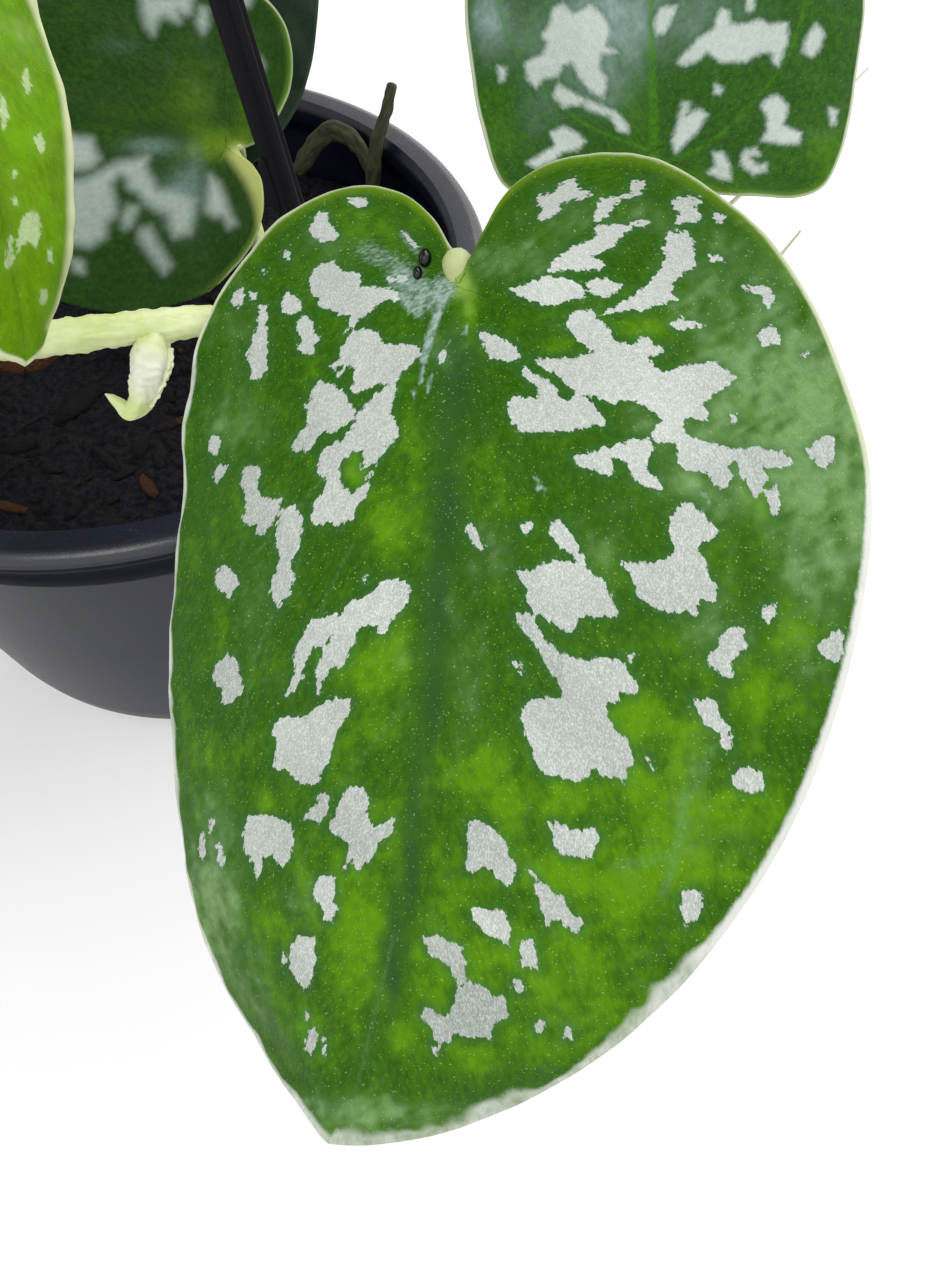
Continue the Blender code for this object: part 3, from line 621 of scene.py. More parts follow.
stems = dict(
    vine_front=dict(
        route=(
            (-38, -30, 60), (-38, -30, 76), (-38, -32, 84), (-35, -42, 101), (-26, -57, 118.6),
            (-8, -70, 129.7), (15, -76, 134.7), (28, -75, 135.7), (40, -70, 133), (52, -64, 127),
        ),
        leaves=dict(
            leaf_front=dict(
                stalk=((45, -68, 130), (57, -69, 130)), base=(70, -78.2, 144.6), tip=(56, -157, 94.4),
                roll=-13, left=frontNarrow, right=frontWide, bow=-0.062, dropLeft=0.09,
                dropRight=0.07, lift=0.04, rows=300, columns=110, tone="front", spots=0,
            ),
            leaf_near_left=dict(
                stalk=((1, -72, 132), (4, -66, 146), (10, -62, 160)), base=(23.2, -71.3, 174.1),
                tip=(25.1, -89.1, 142.9), roll=60.2, left=blunt, right=blunt, wideLeft=0.5,
                wideRight=0.65, fold=0.3, arch=0.08, rows=170, columns=70, tone="bright", spots=10,
            ),
            leaf_upper_left=dict(
                stalk=((50, -65, 128), (43, -55, 120), (41, -44, 118)), base=(35.2, -29.5, 131.6),
                tip=(-26.2, -18.7, 137.6), roll=29.8, left=shallow, right=shallow, wideLeft=1.03,
                wideRight=0.87, fold=-0.12, arch=0.04, rows=200, columns=80, spots=16, tone="shaded",
                knob=0.5,
            ),
            leaf_front_left=dict(
                stalk=((-31, -49, 109), (-36, -58, 112)), base=(-46, -66, 122), tip=(-64, -118, 92),
                roll=6,
            ),
        ),
    ),
    vine_right=dict(
        route=(
            (38, -12, 60), (38, -12, 76), (43, -15, 92), (58, -24, 107), (78, -36, 114),
            (96, -44, 113), (108, -46, 100), (114, -42, 78), (116, -36, 54), (118, -30, 36),
        ),
        leaves=dict(
            leaf_right=dict(
                stalk=((95, -44, 113), (106, -50, 121), (108, -49, 130)), base=(95.1, -43.2, 138.8),
                tip=(94.6, 16.6, 178.7), roll=-0.7, left=square, right=square, wideRight=0.8,
                arch=0.05, lift=0.0, rows=200, columns=80, spots=14, knob=0.5,
            ),
            leaf_right_lower=dict(
                stalk=((113, -43, 84), (121, -48, 80)), base=(128, -52, 74), tip=(138, -62, 22),
                roll=-10, wideLeft=0.8, wideRight=0.8,
            ),
            leaf_right_trailing=dict(
                stalk=((117, -33, 44), (124, -24, 46)), base=(130, -14, 44), tip=(140, 34, 16),
                roll=5, wideLeft=0.85, wideRight=0.85,
            ),
        ),
    ),
    vine_left=dict(
        route=(
            (-42, 8, 60), (-42, 8, 76), (-46, 10, 92), (-62, 14, 106), (-82, 18, 106),
            (-96, 20, 92), (-102, 22, 66), (-104, 26, 42),
        ),
        leaves=dict(
            leaf_left_upper=dict(
                stalk=((-58, 13, 103), (-64, 6, 116)), base=(-76, 4, 130), tip=(-130, -16, 112),
                roll=-6,
            ),
            leaf_left_back=dict(
                stalk=((-84, 18, 105), (-94, 28, 114)), base=(-104, 36, 120), tip=(-150, 74, 94),
            ),
            leaf_left_lower=dict(
                stalk=((-101, 21, 74), (-109, 14, 76)), base=(-116, 6, 74), tip=(-140, -40, 42),
                roll=4,
            ),
            leaf_left_trailing=dict(
                stalk=((-104, 25, 48), (-110, 34, 52)), base=(-117, 42, 50), tip=(-134, 88, 18),
                roll=-4,
            ),
        ),
    ),
    vine_back=dict(
        route=(
            (-8, 40, 60), (-8, 40, 76), (-9, 46, 92), (-13, 62, 106), (-18, 82, 106),
            (-21, 96, 92), (-22, 102, 66),
        ),
        leaves=dict(
            leaf_back_upper=dict(
                stalk=((-12, 60, 105), (-24, 62, 116)), base=(-36, 68, 126), tip=(-74, 110, 110),
                roll=4,
            ),
            leaf_back=dict(
                stalk=((-18, 83, 105), (-10, 94, 110)), base=(-2, 104, 112), tip=(8, 160, 84),
                wideLeft=0.85, wideRight=0.85,
            ),
            leaf_back_trailing=dict(
                stalk=((-22, 101, 72), (-30, 110, 70)), base=(-36, 118, 64), tip=(-56, 152, 22),
            ),
        ),
    ),
    vine_upright=dict(
        route=((2, 8, 60), (2, 8, 76), (3, 7, 94), (4, 6, 112), (1, 12, 134), (-3, 20, 154)),
        leaves=dict(
            leaf_inner=dict(
                stalk=((4, 6, 110), (14, 0, 108)), base=(24.5, -3, 119.7), tip=(36.2, 52.8, 146.8),
                roll=-12, wideLeft=0.59, wideRight=0.72, tone="dark", spots=0,
            ),
            leaf_top_left=dict(
                stalk=((2, 11, 129), (-5, 7, 142)), base=(-14, 2, 156), tip=(-48, -36, 164),
                roll=-5, wideLeft=0.9, wideRight=0.9,
            ),
            leaf_top=dict(
                stalk=((-2, 19, 151), (-3, 24, 160)), base=(-6, 31, 171), tip=(-34, 76, 184),
                wideLeft=0.9, wideRight=0.9,
            ),
        ),
    ),
)

# Silver blotches that the photograph shows, as outlines in its pixels: across, down, across,
# down and so on.
photoMarks = dict(
    leaf_front=(
        (317, 213, 328, 212, 329, 222, 339, 235, 335, 240, 324, 242, 313, 238, 308, 230),
        (348, 197, 367, 197, 369, 206, 359, 207, 349, 202),
        (323, 263, 333, 261, 342, 272, 359, 272, 360, 287, 386, 288, 399, 292, 398, 302, 385, 300,
         369, 312, 354, 327, 344, 334, 349, 324, 350, 315, 339, 315, 329, 309, 320, 309, 319, 299,
         312, 292, 309, 279, 314, 269),
        (342, 347, 349, 334, 362, 328, 379, 334, 383, 343, 416, 344, 422, 354, 409, 366, 399, 376,
         395, 384, 381, 385, 369, 388, 355, 393, 348, 391, 355, 379, 354, 369, 348, 366, 337, 379,
         335, 375, 344, 366, 349, 361, 333, 371, 330, 366, 339, 359),
        (319, 380, 329, 384, 344, 391, 349, 401, 357, 411, 354, 419, 342, 426, 333, 434, 325, 431,
         317, 439, 312, 449, 304, 451, 294, 452, 292, 446, 297, 436, 307, 426, 308, 414, 304, 406,
         312, 396, 313, 386),
        (397, 382, 394, 401, 390, 414, 398, 426, 398, 436, 389, 446, 381, 458, 374, 466, 360, 470,
         362, 461, 363, 451, 353, 451, 342, 461, 340, 473, 342, 486, 353, 494, 362, 486, 371, 471,
         369, 486, 365, 498, 354, 508, 355, 518, 344, 523, 337, 528, 329, 521, 317, 526, 309, 518,
         314, 503, 324, 493, 325, 478, 317, 473, 320, 453, 329, 446, 344, 439, 354, 424, 359, 411,
         369, 401, 379, 391),
        (386, 277, 409, 276, 406, 282, 389, 282),
        (401, 232, 409, 235, 419, 247, 414, 248),
        (236, 289, 243, 289, 245, 299, 237, 308, 231, 302),
        (249, 291, 257, 293, 256, 299, 249, 299),
        (283, 249, 291, 254, 290, 261, 284, 258),
        (262, 267, 267, 271, 264, 276),
        (282, 299, 288, 292, 299, 299, 301, 312, 292, 315, 281, 313),
        (299, 319, 306, 315, 313, 322, 314, 332, 319, 337, 313, 353, 304, 354, 298, 349, 301, 337,
         296, 328),
        (260, 305, 267, 305, 268, 315, 266, 324, 267, 337, 268, 356, 267, 369, 258, 380, 252, 379,
         250, 366, 246, 356, 252, 344, 256, 329, 258, 319),
        (211, 436, 219, 436, 221, 446, 216, 457, 210, 452, 209, 442),
        (219, 465, 228, 465, 223, 476, 217, 483, 212, 478),
        (245, 465, 257, 466, 262, 473, 257, 483, 260, 496, 272, 498, 283, 498, 279, 511, 270, 526,
         262, 536, 256, 534, 257, 526, 245, 526, 243, 516, 247, 503, 240, 481),
        (282, 508, 294, 505, 303, 520, 299, 546, 295, 559, 290, 561, 294, 577, 290, 594, 281, 601,
         278, 612, 275, 605, 271, 592, 272, 579, 277, 569, 280, 559, 275, 538, 276, 526),
        (437, 356, 450, 339, 445, 361, 441, 364),
        (563, 182, 577, 177, 577, 188, 594, 193, 580, 199, 563, 201, 559, 212, 542, 222, 537, 219,
         542, 208, 537, 203, 538, 195, 552, 193),
        (631, 181, 648, 181, 639, 196, 624, 199, 614, 205, 608, 216, 599, 222, 594, 220, 597, 206,
         601, 199, 620, 196, 631, 192),
        (593, 226, 608, 224, 627, 224, 648, 219, 649, 226, 634, 227, 627, 231, 614, 247, 603, 251,
         592, 258, 603, 262, 603, 269, 572, 269, 547, 273, 552, 262, 575, 245, 594, 240, 597, 234),
        (509, 289, 524, 285, 547, 275, 561, 278, 575, 282, 587, 290, 583, 297, 563, 302, 544, 306,
         527, 299, 516, 294),
        (587, 280, 606, 278, 624, 285, 614, 294, 603, 297, 589, 292),
        (676, 198, 700, 196, 701, 203, 694, 206, 698, 213, 704, 217, 700, 223, 684, 223, 674, 226,
         679, 213, 671, 203),
        (667, 233, 687, 230, 694, 243, 694, 257, 697, 265, 684, 273, 673, 282, 673, 293, 678, 300,
         662, 303, 642, 311, 636, 310, 620, 311, 600, 316, 608, 310, 631, 297, 648, 285, 662, 268,
         666, 254, 662, 247, 666, 243),
        (714, 212, 726, 214, 724, 224, 715, 222),
        (709, 255, 719, 256, 727, 262, 713, 261),
        (737, 287, 751, 285, 757, 287, 765, 286, 777, 299, 768, 307, 760, 295, 746, 290),
        (670, 324, 681, 317, 693, 321, 707, 328, 693, 328, 678, 330),
        (760, 330, 770, 324, 780, 332, 780, 344, 763, 346, 757, 337),
        (799, 352, 812, 350, 814, 353, 806, 358, 800, 357),
        (813, 442, 824, 435, 833, 435, 836, 447, 833, 461, 824, 467, 816, 467, 813, 459, 803, 449,
         813, 447),
        (575, 311, 594, 310, 597, 318, 611, 330, 614, 341, 631, 344, 642, 337, 649, 337, 653, 345,
         666, 346, 664, 353, 649, 358, 653, 365, 664, 372, 684, 366, 704, 363, 712, 360, 723, 366,
         737, 376, 732, 383, 718, 391, 709, 397, 704, 403, 709, 414, 708, 421, 698, 419, 684, 418,
         684, 431, 695, 439, 709, 442, 737, 449, 754, 446, 765, 449, 785, 452, 793, 463, 782, 468,
         765, 468, 768, 481, 757, 497, 754, 495, 747, 481, 740, 473, 735, 461, 729, 464, 732, 478,
         722, 491, 714, 484, 707, 473, 687, 470, 678, 464, 678, 450, 670, 442, 656, 443, 648, 436,
         662, 422, 653, 411, 634, 400, 620, 400, 614, 404, 600, 400, 596, 397, 577, 394, 563, 381,
         552, 372, 542, 366, 530, 359, 547, 358, 575, 358, 592, 352, 580, 341, 566, 328, 569, 316),
        (520, 365, 535, 374, 552, 383, 558, 389, 561, 398, 569, 401, 575, 394, 592, 403, 600, 414,
         608, 426, 594, 425, 580, 429, 563, 431, 533, 433, 519, 431, 509, 417, 507, 403, 516, 397,
         535, 398, 540, 396, 533, 383, 521, 374),
        (478, 332, 489, 332, 506, 341, 517, 346, 520, 358, 510, 362, 490, 358, 483, 346),
        (570, 457, 589, 452, 606, 447, 620, 445, 636, 438, 650, 439, 655, 447, 648, 459, 648, 470,
         659, 481, 663, 490, 650, 488, 636, 481, 629, 473, 628, 464, 620, 459, 611, 459, 614, 473,
         608, 478, 594, 470, 580, 466),
        (768, 487, 777, 484, 778, 498, 780, 515, 771, 516, 767, 504),
        (729, 416, 737, 414, 739, 421, 731, 424),
        (467, 526, 472, 522, 476, 531, 485, 547, 481, 550, 471, 540, 466, 533),
        (519, 523, 531, 523, 532, 533, 522, 533),
        (552, 521, 561, 518, 566, 526, 575, 539, 580, 550, 586, 567, 592, 574, 603, 580, 610, 592,
         618, 617, 608, 617, 597, 617, 580, 617, 576, 632, 566, 633, 552, 623, 533, 612, 527, 601,
         527, 589, 514, 571, 530, 570, 549, 561, 563, 560, 577, 564, 572, 556, 561, 547, 549, 533),
        (679, 504, 688, 502, 701, 511, 709, 522, 718, 531, 715, 539, 701, 543, 698, 549, 705, 561,
         708, 575, 718, 588, 714, 602, 698, 599, 697, 617, 687, 612, 664, 612, 648, 603, 639, 598,
         634, 584, 621, 561, 648, 563, 664, 560, 671, 557, 674, 546, 670, 533, 670, 516, 679, 512),
        (761, 605, 775, 602, 775, 617, 768, 623, 761, 616),
        (817, 643, 827, 640, 833, 632, 841, 626, 844, 643, 841, 662, 827, 661, 824, 654, 819, 651),
        (708, 654, 718, 646, 721, 634, 735, 625, 743, 629, 746, 640, 749, 648, 735, 657, 729, 660,
         735, 674, 732, 679, 721, 674, 709, 665),
        (514, 613, 530, 613, 537, 626, 549, 643, 561, 653, 580, 660, 597, 658, 620, 658, 625, 668,
         634, 679, 638, 689, 634, 697, 620, 690, 617, 702, 606, 704, 608, 718, 620, 733, 628, 741,
         634, 761, 628, 769, 625, 784, 614, 777, 603, 775, 593, 766, 589, 776, 577, 782, 563, 777,
         547, 775, 535, 763, 530, 747, 521, 721, 524, 704, 535, 697, 563, 700, 561, 688, 552, 674,
         538, 648, 524, 632),
        (510, 660, 519, 661, 524, 674, 520, 675),
        (690, 697, 698, 700, 715, 699, 722, 716, 729, 727, 733, 741, 733, 749, 728, 754, 722, 744,
         721, 733, 704, 724, 698, 713),
        (733, 772, 746, 765, 760, 772, 764, 783, 761, 793, 743, 791, 730, 783),
        (468, 821, 479, 820, 493, 828, 505, 842, 510, 856, 519, 873, 514, 878, 507, 888, 499, 878,
         493, 870, 479, 867, 474, 873, 465, 870, 468, 850, 467, 834),
        (549, 820, 561, 822, 569, 829, 583, 831, 593, 828, 601, 838, 594, 848, 592, 857, 577, 857,
         563, 856, 555, 848, 552, 834),
        (645, 752, 650, 758, 654, 770, 649, 768),
        (628, 656, 633, 655, 632, 664, 628, 661),
        (530, 867, 536, 875, 551, 893, 563, 896, 569, 911, 582, 920, 581, 933, 572, 932, 560, 920,
         554, 918, 548, 929, 542, 914, 537, 893),
        (473, 908, 485, 909, 498, 909, 506, 915, 510, 929, 510, 947, 497, 939, 482, 930, 473, 920),
        (524, 939, 533, 939, 537, 950, 536, 969, 522, 966, 520, 950),
        (423, 938, 437, 935, 452, 941, 461, 947, 465, 962, 468, 984, 459, 984, 452, 971, 440, 959,
         428, 953),
        (465, 980, 482, 986, 494, 995, 503, 996, 509, 1016, 494, 1023, 491, 1038, 470, 1038, 452, 1034,
         449, 1043, 434, 1040, 431, 1028, 420, 1016, 422, 1007, 431, 1007, 440, 1016, 449, 1014,
         455, 1001, 458, 989, 462, 992),
        (513, 980, 521, 981, 524, 996, 515, 992),
        (533, 1023, 545, 1020, 543, 1031, 536, 1035),
        (564, 1028, 572, 1026, 572, 1040, 564, 1041),
        (432, 1047, 440, 1046, 437, 1056),
        (681, 893, 692, 889, 702, 893, 703, 906, 695, 920, 686, 928, 682, 915),
        (222, 564, 231, 568, 239, 579, 236, 589, 229, 598, 222, 591, 216, 588, 216, 575),
        (364, 577, 368, 575, 365, 585),
        (379, 585, 389, 580, 402, 580, 411, 588, 410, 599, 402, 610, 392, 620, 384, 634, 378, 633,
         377, 625, 366, 625, 358, 629, 354, 643, 349, 653, 346, 666, 333, 668, 323, 681, 318, 694,
         315, 691, 317, 666, 323, 651, 331, 638, 336, 620, 343, 610, 354, 599, 366, 598),
        (312, 619, 323, 619, 333, 614, 342, 613, 338, 628, 329, 640, 323, 647, 313, 648, 308, 656,
         304, 668, 303, 679, 295, 689, 287, 696, 285, 694, 290, 684, 295, 668, 294, 653, 300, 638),
        (212, 676, 217, 663, 229, 654, 239, 663, 240, 676, 244, 686, 239, 696, 230, 704, 221, 704,
         222, 694, 224, 684, 216, 686),
        (280, 718, 303, 717, 313, 712, 323, 703, 336, 698, 352, 700, 349, 714, 338, 727, 333, 745,
         328, 763, 321, 776, 315, 784, 300, 783, 292, 778, 287, 767, 273, 770, 275, 755, 277, 740,
         272, 732, 275, 724),
        (304, 818, 313, 806, 321, 793, 329, 796, 327, 811, 319, 824, 312, 819),
        (247, 816, 257, 815, 272, 816, 292, 823, 294, 839, 290, 860, 282, 867, 272, 855, 264, 857,
         258, 880, 253, 875, 254, 865, 243, 849, 244, 832),
        (341, 796, 351, 786, 361, 788, 369, 796, 368, 821, 374, 827, 387, 821, 396, 818, 392, 832,
         379, 844, 369, 860, 359, 870, 355, 867, 352, 857, 346, 872, 343, 867, 349, 855, 347, 842,
         333, 834, 328, 827, 336, 811),
        (320, 876, 333, 875, 336, 887, 333, 902, 338, 909, 333, 923, 324, 920, 323, 908, 314, 900,
         314, 888),
        (299, 936, 312, 935, 315, 947, 315, 965, 308, 990, 299, 983, 290, 972, 290, 947),
        (282, 953, 286, 950, 285, 963, 282, 962),
        (308, 1029, 317, 1029, 317, 1043, 311, 1056, 305, 1052),
        (322, 1037, 326, 1037, 325, 1055, 323, 1053),
        (305, 1011, 309, 1012, 308, 1022, 305, 1020),
        (200, 833, 204, 830, 206, 850, 203, 862, 199, 850),
        (217, 845, 221, 842, 225, 860, 223, 871, 218, 860),
        (209, 818, 213, 816, 213, 830, 209, 834),
    ),
    leaf_right=(
        (553, 8, 563, 3, 572, 14, 580, 11, 591, 5, 603, 16, 610, 30, 604, 46, 618, 52, 601, 54, 599, 68,
         607, 79, 604, 98, 591, 92, 580, 79, 572, 62, 563, 65, 558, 76, 544, 79, 536, 88, 527, 79,
         525, 62, 544, 54, 547, 43, 542, 35, 550, 24),
        (558, 84, 572, 92, 588, 100, 601, 106, 615, 111, 628, 125, 628, 133, 618, 130, 610, 117, 591, 111,
         582, 104, 563, 107, 553, 95),
        (550, 133, 563, 126, 577, 133, 586, 141, 577, 150, 563, 152, 555, 160, 536, 168, 527, 163,
         544, 152, 555, 146),
        (661, 8, 677, 5, 672, 19, 664, 34, 656, 35, 654, 22),
        (721, 8, 730, 11, 729, 24, 745, 24, 759, 19, 769, 24, 788, 23, 788, 41, 783, 54, 778, 66, 772, 62,
         772, 52, 759, 54, 745, 62, 721, 62, 707, 52, 696, 62, 683, 66, 677, 62, 691, 46, 699, 38,
         713, 30),
        (817, 23, 825, 35, 818, 52, 811, 57, 802, 52, 807, 35),
        (683, 102, 691, 103, 685, 117, 699, 108, 707, 114, 699, 130, 685, 144, 676, 153, 672, 141,
         677, 125, 680, 111),
        (767, 98, 778, 95, 788, 106, 786, 117, 783, 125, 802, 133, 799, 144, 780, 144, 761, 141, 767, 130,
         767, 117, 761, 106),
        (713, 153, 723, 152, 730, 165, 731, 180, 721, 179, 708, 173, 715, 165),
        (745, 150, 756, 148, 760, 155, 750, 157, 756, 165, 767, 163, 767, 171, 753, 175, 741, 165,
         741, 156),
        (497, 66, 506, 68, 505, 80, 500, 82),
        (829, 108, 837, 110, 836, 124, 831, 125),
        (715, 85, 723, 88, 720, 95, 714, 93),
        (746, -4, 755, -4, 753, 10, 747, 12),
    ),
    leaf_near_left=(
        (22, 71, 27, 70, 31, 82, 31, 94, 26, 95, 23, 84),
        (35, 133, 42, 133, 45, 147, 42, 152, 38, 151, 34, 140),
        (10, 171, 15, 171, 16, 178, 13, 181),
        (12, 198, 17, 198, 17, 206, 13, 205),
        (24, 216, 32, 211, 42, 219, 41, 233, 36, 249, 31, 245, 26, 240, 18, 255, 16, 245, 20, 227),
        (10, 235, 13, 237, 12, 255, 16, 257, 8, 270, 4, 265, 6, 251),
        (48, 246, 53, 248, 53, 262, 48, 263),
        (42, 288, 47, 290, 47, 303, 43, 305, 40, 298),
        (0, 91, 6, 98, 8, 123, 4, 128, 0, 118),
    ),
    leaf_upper_left=(
        (141, -4, 192, -4, 191, 12, 184, 14, 178, 10, 179, 22, 172, 19, 164, 16, 158, 20, 153, 34,
         146, 26, 142, 12),
        (201, 8, 206, 10, 207, 25, 203, 32, 198, 22),
        (240, -2, 251, -2, 248, 5, 242, 4),
        (250, 52, 259, 58, 263, 66, 259, 74, 253, 66),
        (60, 133, 79, 138, 91, 139, 95, 150, 99, 158, 91, 168, 79, 170, 60, 170),
        (60, 184, 87, 178, 103, 170, 119, 162, 134, 160, 148, 156, 146, 168, 154, 182, 158, 190, 168, 190,
         178, 192, 195, 200, 193, 218, 190, 233, 174, 237, 170, 227, 168, 214, 156, 210, 146, 204,
         138, 192, 129, 188, 127, 178, 119, 174, 111, 184, 115, 200, 117, 214, 107, 223, 105, 237,
         89, 247, 60, 241),
        (128, 207, 138, 207, 131, 226, 124, 228, 122, 218),
        (140, 229, 150, 227, 156, 239, 164, 253, 171, 265, 164, 273, 156, 263, 148, 253, 139, 239),
        (210, 176, 219, 184, 225, 198, 231, 216, 235, 223, 229, 227, 223, 216, 214, 216, 206, 210,
         208, 194),
        (72, 260, 82, 262, 83, 272, 75, 270),
    ),
)


farOff = 1e9          # a distance beyond any
tiny = 1e-9
plainDepth = -3.0     # what a point far from every blotch has for its depth in one
outlineMargin = 12    # how far round an outline its field is worked out, in pixels


def outlineField(across, down, corner):
    # Distance inside an outline, in pixels and below 0 outside it: the nearest edge, with the
    # sign from the number of edges that a line to the right crosses.
    nearest = np.full(across.shape, farOff)
    inside = np.zeros(across.shape, bool)
    for (x1, y1), (x2, y2) in zip(corner, np.roll(corner, -1, 0)):
        nearest = np.minimum(nearest, awayFromLine(across, down, (x1, y1), (x2, y2)))
        crosses = (y1 > down) != (y2 > down)
        inside ^= crosses & (across < x1 + (down - y1) * (x2 - x1) / (y2 - y1 if y2 != y1 else tiny))
    return np.where(inside, 1, -1) * nearest


def shownMarks(points, outlines):
    # The photograph's blotches on a grid of points, as millimetres inside the nearest one.
    across, down, scale = toPhoto(points)
    field = np.full(across.shape, plainDepth)
    for outline in outlines:
        corner = np.reshape(outline, (-1, 2)).astype(float)
        low, high = corner.min(0) - outlineMargin, corner.max(0) + outlineMargin
        near = (across > low[0]) & (across < high[0]) & (down > low[1]) & (down < high[1])
        if near.any():
            depth = outlineField(across[near], down[near], corner) * scale[near]
            field[near] = np.maximum(field[near], depth)
    return field


# Blotches by rule, each of a few strokes. Their places are shares of the rows and the columns;
# a stroke's reach, widths and scatter are in 70ths of the leaf's length.
drawnBlotch = dict(
    row=(0.06, 0.86), column=(0.16, 0.86), big=(0.4, 1.0), strokes=(2, 5), reach=(1.5, 8.0),
    startWidth=(0.9, 2.2), endWidth=(0.2, 1.0), scatter=2.0, splay=0.3,
)


def drawnMarks(seed, count, flat, heading, length):
    # Seeded blotches in the plane of the blade: each is a few tapered strokes that run out along
    # the veins, and a point's value is the width of a stroke there less its distance from it.
    draw = np.random.default_rng(seed)
    field = np.full(flat.shape[:2], plainDepth)
    size = length / 70
    for _ in range(count):
        row = int(draw.uniform(*drawnBlotch["row"]) * (flat.shape[0] - 1))
        column = int(draw.uniform(*drawnBlotch["column"]) * (flat.shape[1] - 1))
        big = draw.uniform(*drawnBlotch["big"]) ** 1.6
        for _ in range(draw.integers(*drawnBlotch["strokes"])):
            start = flat[row, column] + draw.normal(size=2) * drawnBlotch["scatter"] * big * size
            run = heading[row, column] + draw.normal(size=2) * drawnBlotch["splay"]
            reach = unit(run) * draw.uniform(*drawnBlotch["reach"]) * big * size
            startWidth = draw.uniform(*drawnBlotch["startWidth"]) * big * size
            endWidth = draw.uniform(*drawnBlotch["endWidth"]) * big * size
            away = flat - start
            share = np.clip(away @ reach / (reach @ reach), 0, 1)
            gap = np.linalg.norm(away - share[..., None] * reach, axis=-1)
            field = np.maximum(field, startWidth + (endWidth - startWidth) * share - gap)
    return field


def leafAxes(leaf):
    base = np.array(leaf["base"], float)
    reach = np.array(leaf["tip"], float) - base
    forward = unit(reach)
    left = unit(np.cross(forward, (0, 0, 1)))
    up = np.cross(left, forward)
    roll = math.radians(leaf["roll"])
    rolled = left * math.cos(roll) + up * math.sin(roll)
    return base, rolled, forward, up * math.cos(roll) - left * math.sin(roll), np.linalg.norm(reach)


blade = dict(
    thickness=0.42,    # of the middle of the blade
    edgeRound=0.4,     # how far in from the margin it starts to thin
    fan=0.6,           # share of the way from tip to notch where rows start to share their foot
    channel=0.012,     # depth of the groove over the midrib, a share of the length
    keel=0.85,         # how far the midrib stands out below
    wave=0.0045,       # waviness of the margin, a share of the length
    quilt=0.16,        # low swells over the whole blade
    pucker=0.05,       # and finer ones
    veinGap=7.2,       # between the side veins, along the margin
    veinRise=0.09,     # how far they stand up
    under=16,          # columns of the lower face
    lastColumns=(0.6, 0.3, 0.1, 0),  # the columns nearest the margin, as shares of the edge strip
)


